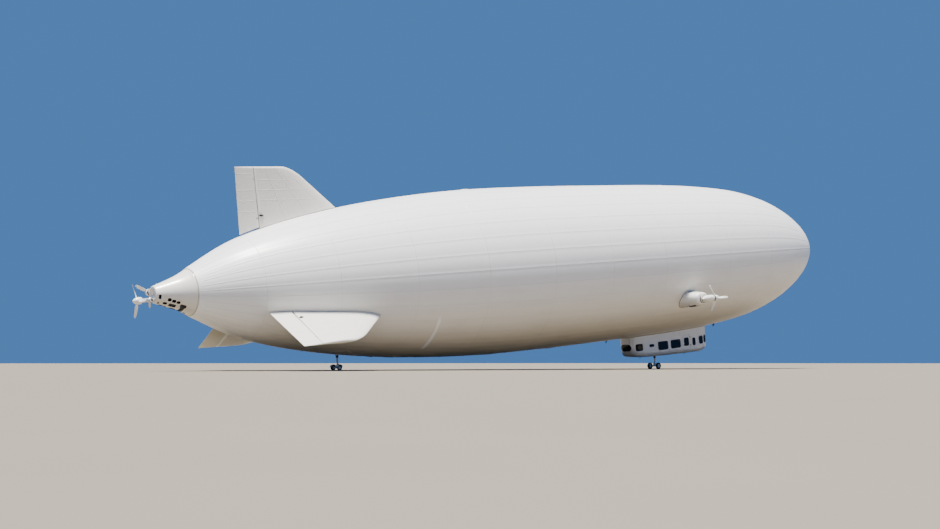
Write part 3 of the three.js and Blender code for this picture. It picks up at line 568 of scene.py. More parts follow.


# the second colour of each film is its painted shade at the keel
FILM = laminate("envelope_film", FILM_WHITE, FILM_BELLY_SHADE, 0.018)
TAPE = laminate("seam_tape", (0.80, 0.80, 0.785), (0.56, 0.50, 0.385), 0.004)
PATCH = laminate("doubler_patch", (0.87, 0.87, 0.855), (0.605, 0.53, 0.40), 0.008)
EDGE_TAPE = laminate("edge_tape", (0.86, 0.86, 0.84), (0.76, 0.70, 0.58), 0.004)
KEEL_TAPE = laminate("keel_tape", (0.62, 0.60, 0.55), (0.40, 0.35, 0.26), 0.004)
print("films", len(bpy.data.materials))

# %% [markdown]
# ## Paint
# Fins, nacelles, the stern housing and the gondola are painted composite shells: a smooth white with a
# clear gloss, faint orange peel, and grime that gathers on their undersides, which are also warmer and
# darker as painted shade. Tapes and sealants are the same recipe in other colours.


# %% Painted shells
def painted(name, colour, grime_and_shade_tone, gloss=0.28, peel=0.35, low_share=0.25, below=0.15):
    """Paint or sealant: mottled a little, dirtier where dust settles and runs, and warmer beneath as painted
    shade.
    """
    finish = Finish(name, Coat_Weight=0.35, Coat_Roughness=0.12, Specular_IOR_Level=0.5)
    place = finish.place()
    clouds = finish.noise(place, 1.3, 5.0, 0.6)
    fine = finish.noise(place, 34.0, 3.0, 0.6)
    runs = finish.noise(finish.stretched(place, (9.0, 9.0, 0.8)), 1.0, 4.0, 0.65)
    normal = finish.node("ShaderNodeTexCoord").outputs["Normal"]
    _, _, facing_up = finish.parts(normal)
    under = (0.0 - facing_up).rise(-0.1, 0.9)
    share = (clouds * 0.6 + runs * 0.5).rise(0.25, 1.0) * (under * low_share + 0.03)
    tone = finish.mix(colour, scaled(colour, 0.93), fine)
    # painted shade: faces that look down take the grime and shade tone by the share below, then grime is
    # mottled over
    tone = finish.mix(finish.mix(tone, grime_and_shade_tone, under * below), grime_and_shade_tone, share)
    finish.bump(finish.noise(place, 420.0, 1.0) * peel + clouds * 0.5, 0.0015, 0.25)
    return finish.set(Base_Color=tone, Roughness=clouds * 0.16 + gloss)


# below, the last argument and 0.15 when left out, is the share of painted shade on faces that look down
BRIGHT = painted("bright_strip", (0.90, 0.89, 0.87), (0.62, 0.56, 0.46), 0.30, 0.2, 0.15)
FIN_PAINT = painted("fin_paint", (0.82, 0.80, 0.72), (0.50, 0.44, 0.28), 0.30, 0.35, 0.55, 0.55)
SHELL_PAINT = painted("shell_paint", (0.84, 0.83, 0.78), (0.44, 0.38, 0.28), 0.26, 0.35, 0.35, 0.45)
CABIN_PAINT = painted("gondola_paint", (0.88, 0.88, 0.86), (0.56, 0.48, 0.33), 0.22, 0.30, 0.40, 0.75)
BLADE_PAINT = painted("blade_paint", (0.82, 0.82, 0.80), (0.35, 0.32, 0.28), 0.24, 0.25, 0.0, 0.0)
# ochre for the door frame seals and the aft valve plates, and painted shade in the skirt round the cabin
OCHRE_SEAL_AND_SHADE = painted("ochre_seal_and_shade", (0.42, 0.31, 0.12), (0.20, 0.15, 0.07), 0.5, 0.6, 0.5)
# a dark brown laid in the gaps at the roots of fins and nacelles as painted shade
ROOT_GAP_SHADE = painted("painted_root_gap_shade", (0.13, 0.095, 0.05), (0.06, 0.045, 0.03), 0.5, 0.6, 0.5)
SEALANT = painted("joint_sealant", (0.40, 0.36, 0.28), (0.20, 0.17, 0.12), 0.5, 0.5, 0.5)
VALVE_BROWN = painted("valve_brown", (0.36, 0.27, 0.14), (0.12, 0.09, 0.06), 0.42, 0.4, 0.5)
print("films and paints", len(bpy.data.materials))

# %% [markdown]
# ## Rubber and metal
# Seals and tyres are rubber and small fittings matt black paint, dusty where air stands still. The same
# black inside the mouths of vents and openings is painted shade.
# Metal parts are brushed one way by the tool that made them, which a stretched noise repeats.

# %% Rubber and metal
RUBBER_DUST = (0.16, 0.145, 0.12)


def rubber(name, colour, scale=60.0, dusty=0.45):
    finish = Finish(name, Specular_IOR_Level=0.3)
    place = finish.place()
    grain = finish.noise(place, scale, 4.0, 0.6)
    dust = finish.noise(place, 2.5, 3.0).rise(0.45, 0.8)
    tone = finish.mix(colour, RUBBER_DUST, dust * dusty)
    finish.bump(grain, 0.0012, 0.5)
    return finish.set(Base_Color=tone, Roughness=grain * 0.2 + 0.58)


def metal(name, colour, rough=0.3, brushed=(1.0, 1.0, 1.0)):
    finish = Finish(name, Metallic=0.9)
    place = finish.place()
    brush = finish.noise(finish.stretched(place, brushed), 55.0, 4.0, 0.6)
    stain = finish.noise(place, 3.2, 4.0).rise(0.5, 0.85)
    tone = finish.mix(colour, scaled(colour, 0.45), stain * 0.5)
    finish.bump(brush, 0.0006, 0.35)
    return finish.set(Base_Color=tone, Roughness=brush * 0.22 + rough)


RUBBER = rubber("black_rubber", (0.012, 0.012, 0.013))
TYRE = rubber("tyre_rubber", (0.020, 0.020, 0.021), 38.0)
# matt black for small fittings, and painted shade inside vents, pockets, the hood, open valves and behind the
# stern openings
BLACK_AND_HOLLOW_SHADE = rubber("black_and_hollow_shade", (0.004, 0.004, 0.0045), 90.0, 0.06)
BORDER_BLACK = rubber("window_border", (0.005, 0.005, 0.006), 90.0, 0.04)
TRIM = rubber("console_trim", (0.05, 0.052, 0.057), 120.0)
ALUMINIUM = metal("brushed_aluminium", (0.62, 0.63, 0.65), 0.28, (1.0, 6.0, 1.0))
STEEL = metal("dark_steel", (0.30, 0.30, 0.31), 0.34)
CAST = metal("cast_engine", (0.22, 0.22, 0.23), 0.45)
DARK_WIRE = metal("dark_wire", (0.12, 0.12, 0.125), 0.5)
print("with rubbers and metals", len(bpy.data.materials))

# %% [markdown]
# ## Glass, leather and lamps
# The cabin windows are tinted acrylic. From outside they read as black, and the seats show only as dim
# shapes. A see-through layer mixed with a glossy one does that cheaply and still lets light in.


# %% Glass, leather and lamps
def tinted_glass():
    finish = Finish("tinted_glass", Base_Color=(0.01, 0.012, 0.014), Roughness=0.04, Specular_IOR_Level=0.6)
    smear = finish.noise(finish.place(), 6.0, 3.0)
    clear = finish.node("ShaderNodeBsdfTransparent", inputs={"Color": (0.07, 0.085, 0.095)})
    edge = finish.node("ShaderNodeFresnel", inputs={"IOR": 1.5})
    share = Value(finish, edge.outputs[0]) * 0.8 + smear * 0.05 + 0.45
    inputs = {0: share, 1: clear.outputs[0], 2: finish.shader.outputs[0]}
    both = finish.node("ShaderNodeMixShader", inputs=inputs)
    finish.put(finish.tree.nodes["Material Output"].inputs["Surface"], both.outputs[0])
    return finish.material


def leather():
    colour = (0.075, 0.10, 0.15)
    finish = Finish("seat_leather", Specular_IOR_Level=0.4)
    place = finish.place()
    grain = finish.cells(place, 420.0)
    wear = finish.noise(place, 7.0, 4.0)
    tone = finish.mix(colour, scaled(colour, 1.9), wear.rise(0.5, 0.85) * 0.5)
    finish.bump(grain * 0.5 + finish.noise(place, 26.0, 3.0) * 0.6, 0.001, 0.5)
    return finish.set(Base_Color=tone, Roughness=wear * 0.25 + 0.38)


def floor_cover():
    colour = (0.07, 0.075, 0.085)
    finish = Finish("floor_cover", Roughness=0.95, Specular_IOR_Level=0.15)
    pile = finish.noise(finish.place(), 500.0, 2.0)
    finish.bump(pile, 0.002, 0.8)
    return finish.set(Base_Color=finish.mix(colour, scaled(colour, 1.8), pile.rise(0.45, 0.7)))


def lamp(name, colour, glow):
    finish = Finish(name, Roughness=0.12, Emission_Strength=glow, Coat_Weight=0.6)
    facets = finish.cells(finish.place(), 160.0)
    shade = finish.mix(colour, scaled(colour, 0.6), facets.rise(0.1, 0.6))
    finish.bump(facets, 0.001, 0.4)
    return finish.set(Base_Color=shade, Emission_Color=shade)


GLASS = tinted_glass()
LEATHER = leather()
FLOOR_COVER = floor_cover()
RED_LAMP = lamp("port_lamp", (0.75, 0.03, 0.02), 0.6)
GREEN_LAMP = lamp("starboard_lamp", (0.02, 0.55, 0.12), 0.6)
CLEAR_LAMP = lamp("clear_lamp", (0.30, 0.32, 0.35), 0.1)
SCREEN = lamp("console_screen", (0.02, 0.05, 0.08), 0.4)
print("materials", len(bpy.data.materials))

# %% [markdown]
# ## The hull's surface
# The envelope is a body of revolution, so one curve of radius against station describes it. It passes
# through the same stations as the construction, and later pieces ask it where the skin is.

# %% Hull curve
# station, radius
HULL_STATIONS = [
    (0, 0), (0.12, 0.82), (0.6, 1.78), (2, 2.88), (4.5, 4.21), (8, 5.5), (12, 6.36), (17, 6.82), (23, 7.03),
    (30, 7.08), (38, 7.08), (46, 6.9), (53, 6.36), (59, 5.55), (64, 4.52), (67.5, 3.4), (70.9, 1.72),
]
STEPS_A_STATION = 9


def centripetal(points, steps):
    """A smooth curve through points, its speed set by the root of their distance."""
    points = [Vector(p) for p in points]
    first = points[0] * 2 - points[1]
    last = points[-1] * 2 - points[-2]
    run = [first, *points, last]
    curve = []
    for a, b, c, d in zip(run, run[1:], run[2:], run[3:]):
        before, here, after = [math.sqrt((q - p).length) for p, q in ((a, b), (b, c), (c, d))]
        leave = ((b - a) / before - (c - a) / (before + here) + (c - b) / here) * here
        arrive = ((c - b) / here - (d - b) / (here + after) + (d - c) / after) * here
        for i in range(steps):
            t = i / steps
            bend = (c - b) * 3 - leave * 2 - arrive
            turn = (b - c) * 2 + leave + arrive
            curve.append(b + leave * t + bend * t * t + turn * t ** 3)
    curve.append(points[-1])
    return curve


HULL_CURVE = centripetal([(station, radius, 0) for station, radius in HULL_STATIONS], STEPS_A_STATION)
CURVE_STATIONS = [point.x for point in HULL_CURVE]


def hull_radius(station):
    i = max(1, min(bisect(CURVE_STATIONS, station), len(HULL_CURVE) - 1))
    a, b = HULL_CURVE[i - 1], HULL_CURVE[i]
    return a.y + (b.y - a.y) * (station - a.x) / (b.x - a.x)


print("hull curve", len(HULL_CURVE), "points")

# %% [markdown]
# ## Places on the skin
# Whatever is bonded to the envelope has to follow it. So a place on the skin is asked for by its station
# and its degrees round from the keel, with the small swelling between the seams already in it.

# %% Places on the skin
LOBE = 0.012


def hull_normal(station, around):
    """Straight out of the skin. around is in degrees from the keel, port first."""
    slope = hull_radius(station + 0.3) - hull_radius(station - 0.3)
    angle = math.radians(around)
    return Vector((slope / 0.6, math.sin(angle), -math.cos(angle))).normalized()


def lobe(station, around):
    """How far the skin swells beyond the plain curve: least at a seam, most between two seams."""
    share = (around * GORES / 360) % 1
    return LOBE * min(1.0, hull_radius(station) / 3) * (math.sin(math.pi * share) - 0.5)


def on_hull(station, around, lift=0.0):
    radius = hull_radius(station) + lobe(station, around)
    angle = math.radians(around)
    skin = at(station, radius * math.sin(angle), -radius * math.cos(angle))
    return skin + hull_normal(station, around) * lift


def keel_angle(station, out):
    """Degrees round from the keel, straight under a distance to port."""
    return math.degrees(math.asin(out / hull_radius(station)))


def near_keel(station, out, lift=0.0):
    return on_hull(station, keel_angle(station, out), lift)


print("the keel lies", round(-on_hull(30, 0).z, 2), "m under the hull's axis")

# %% [markdown]
# ## The envelope
# Thirty-two gores run from nose to stern. Gas pressure makes each swell a little between its seams, so
# the skin is a row of shallow lobes and not a perfect round. The four keel valves sit in pits, which are
# cut through the skin.

# %% Envelope skin
POINTS_A_GORE = 6
# name, station, radius
VALVES = [
    ("valve_fore", 14.2, 0.42), ("valve_middle", 37, 0.45), ("valve_aft", 43.9, 0.36),
    ("valve_stern", 53.9, 0.36),
]
PIT = 0.30


def valve_seat(station):
    """A matrix that stands a turned piece on the keel line."""
    return facing(on_hull(station, 0), hull_normal(station, 0))


rounds = GORES * POINTS_A_GORE
rings = [[at(0, 0, 0)] * rounds]
rings += [[on_hull(station, 360 * i / rounds) for i in range(rounds)] for station in CURVE_STATIONS[1:]]
pits = joined([
    turned([(0, -PIT), (radius, -PIT), (radius, PIT), (0, PIT)]).moved(valve_seat(station))
    for _, station, radius in VALVES
])
make("envelope_skin", carved(welded(grid(rings)), pits), FILM, ["envelope"], smooth=40)

# %% [markdown]
# ## Seam tapes
# Each seam between two gores is covered by a welded tape, and wider crosswise tapes close the panels'
# ends. A tape is a strip whose middle is a few millimetres proud and whose edges are tucked just under
# the skin, so no gap shows along them.

# %% Tapes
TAPE_WIDTH = 0.05
KEEL_TAPE_WIDTH = 0.10
TAPE_LIFT = 0.004
TAPES_FROM, TAPES_TO = 0.3, 70.8
TUCK = -0.002
CROSS_SEAMS = [6.4, 12.9, 19.6, 28.4, 35.0, 41.6, 48.4, 54.9, 61.2, 66.6]


def tape(centre_line, across, width, lift):
    """A thin strip laid on the skin: its middle is proud and its edges run down to the skin."""
    rows = []
    for station, around in centre_line:
        along, turn = across(station, width)
        rows.append([
            on_hull(station + along * share, around + turn * share, height)
            for share, height in ((-0.5, TUCK), (-0.44, lift), (0.44, lift), (0.5, TUCK))
        ])
    return sheet(rows)


def around_reach(station, width):
    return (0.0, math.degrees(width / max(hull_radius(station), 0.3)))


def along_reach(_, width):
    return (width, 0.0)


def gore_line(around):
    return [(s, around) for s in CURVE_STATIONS if TAPES_FROM < s < TAPES_TO]


def clear_of_valves(shape, past=0.02):
    """The shape without the faces that would cover a valve's mouth."""
    mouths = [(on_hull(station, 0), radius + past) for _, station, radius in VALVES]
    kept = []
    for face in shape.faces:
        middle = sum((shape.points[i] for i in face), Vector()) / len(face)
        if all((middle - mouth).length > reach for mouth, reach in mouths):
            kept.append(face)
    return Shape(shape.points, kept)


keel_line = {s for s, _ in gore_line(0)}
for _, station, radius in VALVES:
    keel_line |= set(spaced(station - radius - 0.1, station + radius + 0.1, 24))
keel = tape([(s, 0) for s in sorted(keel_line)], around_reach, KEEL_TAPE_WIDTH, TAPE_LIFT)
make("keel_tape", clear_of_valves(keel), KEEL_TAPE, smooth=60)
tapes = [tape(gore_line(360 * gore / GORES), around_reach, TAPE_WIDTH, TAPE_LIFT) for gore in range(1, GORES)]
for station in CROSS_SEAMS:
    line = [(station, 360 * i / rounds) for i in range(rounds + 1)]
    tapes.append(tape(line, along_reach, TAPE_WIDTH, TAPE_LIFT * 0.8))
make("seam_tapes", joined(tapes), TAPE, smooth=60)

# %% [markdown]
# ## Doublers on the keel
# Where a gear, a valve or the gondola pulls on the fabric, a second layer spreads the load: a diamond
# before each fitting, and a long leaf under the gondola. A light tape is bonded over the edge of each.

# %% Doublers
# stations of the two corners on the keel, half width
DIAMONDS = [(56.6, 61.4, 1.85), (52.5, 55.3, 1.15), (42.6, 45.2, 1.1), (35.6, 38.4, 1.25)]
EDGE_LIFT, INNER_LIFT = 0.013, 0.006


def diamond(fore, aft, half, lift=0.009, steps=40):
    """A diamond doubler on the keel, its corners at two stations and at each side."""
    rows = []
    for i in range(steps + 1):
        row = []
        for k in range(steps + 1):
            edge = i in (0, steps) or k in (0, steps)
            station = fore + (aft - fore) * (i + k) / steps / 2
            row.append(near_keel(station, half * (k - i) / steps, TUCK if edge else lift))
        rows.append(row)
    return sheet(rows)


def diamond_edge(fore, aft, half, width=0.1, steps=24):
    """The light tape over the edge of a diamond."""
    middle, reach = (fore + aft) / 2, (aft - fore) / 2
    corners = [(-1, 0), (0, 1), (1, 0), (0, -1)]
    inner = 1 - width / half
    rows = []
    for share, lift in ((1.0, TUCK), (0.99, EDGE_LIFT), (inner, EDGE_LIFT), (inner - 0.01, INNER_LIFT)):
        row = []
        for start, end in zip(corners, corners[1:] + corners[:1]):
            for i in range(steps):
                along, out = [start[k] + (end[k] - start[k]) * i / steps for k in range(2)]
                row.append(near_keel(middle + reach * share * along, half * share * out, lift))
        rows.append(row)
    return grid(rows, caps=False)


print("diamond doublers", len(DIAMONDS))

# %% [markdown]
# ## The leaf under the gondola
# The largest doubler lies astride the keel and carries the gondola. Its half width is a short table, and its
# edge tapes run along that same table. All doublers are kept clear of the valves' holes.

# %% Leaf
# station, half width of the doubler that carries the gondola
LEAF = [(14.9, 0.5), (15.7, 1.5), (16.6, 1.8), (22, 1.95), (27.4, 1.85), (28.6, 1.5), (31.6, 0.05)]


def leaf_half(station):
    """The leaf's half width, on straight lines between the rows of its table."""
    later = next(k for k in range(1, len(LEAF)) if station <= LEAF[k][0] + 1e-9)
    (a, start), (b, end) = LEAF[later - 1], LEAF[later]
    return start + (end - start) * (station - a) / (b - a)


def leaf_edge(side, width=0.09):
    """The light tape over one edge of the leaf."""
    profile = ((0, TUCK), (0.012, EDGE_LIFT), (width, EDGE_LIFT), (width + 0.012, INNER_LIFT))
    rows = []
    for station in spaced(LEAF[0][0], LEAF[-1][0], 80):
        half = leaf_half(station)
        rows.append([near_keel(station, side * max(half - inward, 0.0), lift) for inward, lift in profile])
    return sheet(rows)


def leaf(lift=0.008, steps=28):
    """The doubler astride the keel that carries the gondola."""
    rows = []
    for i, station in enumerate(spaced(LEAF[0][0], LEAF[-1][0], steps * 2)):
        half = leaf_half(station)
        row = []
        for k in range(steps + 1):
            edge = k in (0, steps) or i in (0, steps * 2 - 1)
            row.append(near_keel(station, half * (2 * k / steps - 1), TUCK if edge else lift))
        rows.append(row)
    return sheet(rows)


patches = [*[diamond(*row) for row in DIAMONDS], leaf()]
make("keel_doublers", clear_of_valves(joined(patches)), PATCH, smooth=50)
edges = [*[diamond_edge(*row) for row in DIAMONDS], *[leaf_edge(side) for side in BOTH]]
make("doubler_edges", joined(edges), EDGE_TAPE, smooth=50)

# %% [markdown]
# ## Raised strips
# Two bright raised strips lie across the lower flanks ahead of the fins. Each is a sheet across the skin
# whose middle stands proud and whose edges are tucked in.

# %% Raised strips
STRIP_STATION = 52.7
STRIP_WIDTH = 0.30
STRIP_FROM, STRIP_TO = 26, 59


def raised_strip(station, start, end, width, lift):
    rows = []
    for around in spaced(start, end, 24):
        edge = around in (start, end)
        rows.append([
            on_hull(station + share * width, around, TUCK if edge else height)
            for share, height in ((-0.5, TUCK), (-0.47, lift), (0.47, lift), (0.5, TUCK))
        ])
    return sheet(rows)


flank_strips = [
    raised_strip(STRIP_STATION, side * STRIP_FROM, side * STRIP_TO, STRIP_WIDTH, 0.018)
    for side in BOTH
]
make("flank_strips", joined(flank_strips), BRIGHT, smooth=50)

# %% [markdown]
# ## A hood and guides on the skin
# A hood near the stern valve vents the ballast air, and little rope guides follow the keel. Each is made
# flat on a table and then stood on the skin by one matrix.

# %% Hood and guides
HOOD_STATION, HOOD_OUT, HOOD_HEADING = 54.7, 1.25, 20
GUIDE_STATIONS = [10.2, 12.0, 28.9, 31.5, 33.3, 40.2, 41.9, 46.4, 48.9, 51.3, 56.0, 61.9, 64.4, 66.8]


def hood(length, width, height, wall=0.02):
    """A half dome on the skin with an open mouth towards -X, and its inside, black as painted shade."""
    outer, inner = [], []
    for i in range(13):
        t = i / 12
        fat = math.sqrt(max(1 - (1 - t) ** 2.2, 0.0)) if t < 1 else 1.0
        for rows, shrink, reach in ((outer, 0.0, 1.0), (inner, wall, 0.98)):
            row = []
            for k in range(17):
                angle = math.pi * k / 16
                side = math.cos(angle) * max(width / 2 * fat - shrink, 0.001)
                up = math.sin(angle) * max(height * fat - shrink, 0.001)
                row.append(Vector((length / 2 - length * t * reach, side, up - 0.01)))
            rows.append(row)
    return joined([sheet(outer), sheet([outer[-1], inner[-1]])]), sheet(inner)


def on_skin(station, around, heading=0.0):
    """A matrix that stands a piece on the skin: local X forward, local Z out of the skin."""
    out = hull_normal(station, around)
    ahead = (Vector((1, 0, 0)) - out * out.x).normalized()
    turn = Matrix((ahead, out.cross(ahead), out)).transposed().to_4x4()
    return shift(on_hull(station, around)) @ turn @ Matrix.Rotation(math.radians(heading), 4, "Z")


hood_at = on_skin(HOOD_STATION, keel_angle(HOOD_STATION, HOOD_OUT), HOOD_HEADING)
shell, inside = hood(0.55, 0.34, 0.17)
make("ballast_hood", shell.moved(hood_at), SHELL_PAINT)
# the hood's inside is black as painted shade in its mouth
make("ballast_hood_inside", inside.moved(hood_at), BLACK_AND_HOLLOW_SHADE)
guide_foot = turned([
    (0, 0.045), (0.02, 0.043), (0.036, 0.03), (0.042, 0.012), (0.055, 0.006), (0.055, -0.01), (0, -0.01),
], 16)
guide = joined([guide_foot, bar((-0.03, 0, 0.03), (0.03, 0, 0.03), 0.012, 8)])
make("keel_guides", joined([guide.moved(on_skin(s, 0)) for s in GUIDE_STATIONS]), STEEL)

# %% [markdown]
# ## The crown
# The photograph hides the top of the hull. Craft of this kind have gas valves there, under low covers with
# a ring of bolts, and a red beacon. The same beacon hangs under the belly.

# %% Crown fittings
CROWN_VALVES = (21.0, 45.0)
BEACONS = ((33.0, 180), (40.8, 6))


def beacon():
    """A low lamp: its base and its glass dome."""
    base = turned([(0, 0.03), (0.075, 0.03), (0.085, 0.02), (0.11, 0.008), (0.11, -0.01), (0, -0.01)], 32)
    dome = turned([(0, 0.115), (0.025, 0.112), (0.045, 0.1), (0.055, 0.08), (0.06, 0.03), (0, 0.03)], 28)
    return base, dome


cover = turned([
    (0, 0.07), (0.12, 0.068), (0.24, 0.058), (0.33, 0.04), (0.37, 0.02), (0.375, 0.012), (0.47, 0.010),
    (0.475, 0.002), (0.475, -0.02), (0, -0.02),
], 56)
cover_bolts = bolts((0, 0, 0.008), (0, 0, 1), 0.42, 20, 0.012, 0.012)
crown = [on_skin(station, 180) for station in CROWN_VALVES]
make("crown_valve_covers", joined([cover.moved(place) for place in crown]), SHELL_PAINT)
make("crown_valve_bolts", joined([cover_bolts.moved(place) for place in crown]), STEEL)
bases, domes = [joined([shape.moved(on_skin(*place)) for place in BEACONS]) for shape in beacon()]
make("beacon_bases", bases, SHELL_PAINT)
make("beacon_domes", domes, RED_LAMP)

# %% [markdown]
# ## Antennas
# Radio blades, two short whips and small round aerials sit on the skin just ahead of the cabin, where the
# pilots' wiring is short, and one more blade behind it. A blade is a thin swept foil on a foot plate.

# %% Antennas
# length, height, sweep, and where it stands: station, degrees from the keel
BLADE_ANTENNAS = [
    (0.17, 0.26, 0.09, 15.55, -6.5), (0.14, 0.22, 0.08, 15.9, -10.0), (0.12, 0.18, 0.06, 15.15, 3.0),
    (0.17, 0.26, 0.09, 29.6, 0),
]
WHIPS = ((15.35, 7.5), (14.75, 8.2))
ROUND_AERIALS = ((15.2, -3.0), (14.95, 1.2), (15.0, -8.5), (14.6, 2.6))


def blade_antenna(length, height, sweep):
    rows = []
    for share in (0.0, 0.2, 0.5, 0.8, 0.95, 1.0):
        size = length * (1 - 0.45 * share) * (1.0 if share < 1 else 0.6)
        rows.append([(c * size / 2 - sweep * share, s * 0.016, height * share) for c, s in compass(16)])
    return joined([grid(rows), soft_box((length * 1.3, 0.07, 0.02), 0.008)])


antennas = [blade_antenna(*row[:3]).moved(on_skin(*row[3:])) for row in BLADE_ANTENNAS]
whip = bar((0, 0, 0.0), (0.12, 0, 0.34), 0.011, 10)
antennas += [whip.moved(on_skin(*place)) for place in WHIPS]
antennas += [guide.moved(on_skin(*place)) for place in ROUND_AERIALS]
make("antennas", joined(antennas), BLACK_AND_HOLLOW_SHADE)

# %% [markdown]
# ## Keel valves
# Gas and air valves are spring-loaded plates in a round seat. The two aft ones show a brown seat with the
# plate well inside. The two forward ones are open mouths behind a dark mesh, their seats and plates black
# as painted shade.

# %% Valves
FLANGE = 0.07
OPEN_MOUTHS = ("valve_fore", "valve_middle")
SPOKE_TURNS = (0.3, 0.3 + 2 * math.pi / 3, 0.3 + 4 * math.pi / 3)


def valve_parts(radius):
    seat = turned([
        (radius - 0.06, -0.24), (radius - 0.06, 0.005), (radius - 0.05, 0.022), (radius - 0.02, 0.03),
        (radius + FLANGE - 0.02, 0.02), (radius + FLANGE, 0.004), (radius + FLANGE, -0.02),
        (radius - 0.01, -0.02), (radius - 0.01, -0.24), (radius - 0.06, -0.24),
    ], 64)
    plate = turned([
        (0, -0.13), (radius * 0.3, -0.135), (radius * 0.6, -0.16), (radius * 0.78, -0.2),
        (radius - 0.06, -0.21), (radius - 0.06, -0.24), (0, -0.24),
    ])
    hub = turned([(0, -0.08), (0.035, -0.08), (0.05, -0.1), (0.05, -0.15), (0, -0.15)], 20)
    reach = radius - 0.05
    tips = [(reach * math.cos(angle), reach * math.sin(angle), -0.1) for angle in SPOKE_TURNS]
    spokes = [bar((0, 0, -0.1), tip, 0.012, 8) for tip in tips]
    heads = bolts((0, 0, 0.018), (0, 0, 1), radius + FLANGE * 0.45, 24, 0.012, 0.012)
    return seat, joined([plate, hub]), joined([*spokes, heads])


def mesh_guard(radius, pitch=0.07):
    """Crossed wires across the mouth."""
    wires = []
    count = int(radius / pitch)
    for i in range(-count, count + 1):
        reach = math.sqrt(max((radius - 0.05) ** 2 - (i * pitch) ** 2, 1e-4))
        wires.append(bar((-reach, i * pitch, -0.035), (reach, i * pitch, -0.035), 0.007, 6))
        wires.append(bar((i * pitch, -reach, -0.045), (i * pitch, reach, -0.045), 0.007, 6))
    return joined(wires)


for name, station, radius in VALVES:
    seated = valve_seat(station)
    seat, plate, fittings = [shape.moved(seated) for shape in valve_parts(radius)]
    # the open mouths' seats and plates are black as painted shade
    seat_paint, plate_paint = (BLACK_AND_HOLLOW_SHADE, BLACK_AND_HOLLOW_SHADE) if name in OPEN_MOUTHS else (VALVE_BROWN, OCHRE_SEAL_AND_SHADE)
    make(f"{name}_seat", seat, seat_paint, [name])
    make(f"{name}_plate", plate, plate_paint)
    make(f"{name}_fittings", fittings, STEEL)
    if name in OPEN_MOUTHS:
        make(f"{name}_mesh", mesh_guard(radius).moved(seated), STEEL)

# %% [markdown]
# ## Nose fitting
# The mast couples to a turned spindle on a dished cone, bolted through the skin to the frame inside. A
# lathe profile gives the cone, and the bolts are a ring of small heads.

# %% Nose fitting
# radius, distance ahead of the nose
NOSE_PROFILE = [
    (0, -0.45), (1.03, -0.47), (1.035, -0.45), (1.0, -0.405), (0.72, -0.17), (0.5, -0.02), (0.44, 0.03),
    (0.40, 0.035), (0.30, 0.085), (0.275, 0.10), (0.25, 0.125), (0.16, 0.145), (0.125, 0.165), (0.12, 0.18),
    (0.12, 0.24), (0.095, 0.25), (0.095, 0.29), (0.12, 0.30), (0.12, 0.40), (0.105, 0.419), (0, 0.419),
]
NOSE_DOUBLER = (0.55, 1.9)
make("nose_cone", turned(NOSE_PROFILE, 96).moved(AHEAD), SHELL_PAINT, ["nose_fitting"])
nose_bolts = joined([
    bolts((0, 0, 0), (1, 0, 0), 0.44, 16, 0.016, 0.045),
    bolts((0.075, 0, 0), (1, 0, 0), 0.34, 12, 0.014, 0.02),
])
make("nose_bolts", nose_bolts, STEEL)
doubler_rows = []
for share in spaced(*NOSE_DOUBLER, 10):
    lift = TUCK if share in NOSE_DOUBLER else 0.006
    doubler_rows.append([on_hull(0.6 * share ** 1.3, 360 * i / 96, lift) for i in range(96)])
make("nose_doubler", grid(doubler_rows, caps=False), PATCH, smooth=60)

# %% [markdown]
# ## Fins
# Three fins stand in an inverted Y. Each is a tapered foil with a rounded tip corner. Its root follows the
# skin with a narrow gap, darkened by a band of painted shade, and its trailing edge carries the rudder on
# two hinges. All three are made upright and then turned about the craft's axis.

# %% Fin shape
FINS = {"top": 0.0, "port": -118.9, "starboard": 118.9}
FIN_TIP = 8.95
FIN_ROOT_LEADING = 57.9
FIN_ROOT_RADIUS = 5.72
FIN_TIP_LEADING = 61.7
FIN_CORNER = 0.8
FIN_HINGE = 65.0
FIN_THICK = (0.62, 0.30)
FIN_EDGE_ROUND = 0.13
HINGE_GAP = 0.012
ROOT_GAP = 0.045
# share of the chord, share of the half thickness
FOIL = [(0, 0), (0.004, 0.12), (0.012, 0.2), (0.05, 0.45), (0.14, 0.76), (0.36, 1), (0.7, 0.84), (1, 0.52)]
FIN_CHORDS = [
    0, 0.004, 0.012, 0.028, 0.05, 0.08, 0.12, 0.17, 0.23, 0.3, 0.38, 0.46, 0.54, 0.62, 0.7, 0.78, 0.86,
    0.93, 1,
]
FIN_HEIGHTS = [
    0, 0.12, 0.25, 0.38, 0.5, 0.6, 0.68, 0.75, 0.81, 0.86, 0.9, 0.93, 0.955, 0.972, 0.985, 0.994, 1.0,
]
foil_thickness = flowing(FOIL, 1)


def leading_edge(level):
    slope = (FIN_TIP_LEADING - FIN_ROOT_LEADING) / (FIN_TIP - FIN_ROOT_RADIUS)
    rise = min(max(0, level - (FIN_TIP - FIN_CORNER)) / FIN_CORNER, 1)
    return FIN_ROOT_LEADING + (level - FIN_ROOT_RADIUS) * slope + FIN_CORNER * (1 - math.sqrt(1 - rise ** 2))


def half_thickness(level):
    share = (level - FIN_ROOT_RADIUS) / (FIN_TIP - FIN_ROOT_RADIUS)
    plain = FIN_THICK[0] + (FIN_THICK[1] - FIN_THICK[0]) * share
    rise = min(max(0, level - (FIN_TIP - FIN_EDGE_ROUND)) / FIN_EDGE_ROUND, 1)
    return plain / 2 * max(0.06, math.sqrt(1 - rise ** 2))


def on_fin(chord, level, side, lift=0.0):
    """A point of an upright fin's skin: side is 1 to port and -1 to starboard."""
    nose = leading_edge(level)
    end = FIN_HINGE - half_thickness(level) * FOIL[-1][1] - HINGE_GAP
    out = foil_thickness(chord) * half_thickness(level) + lift
    return at(nose + (end - nose) * chord, side * out, level)


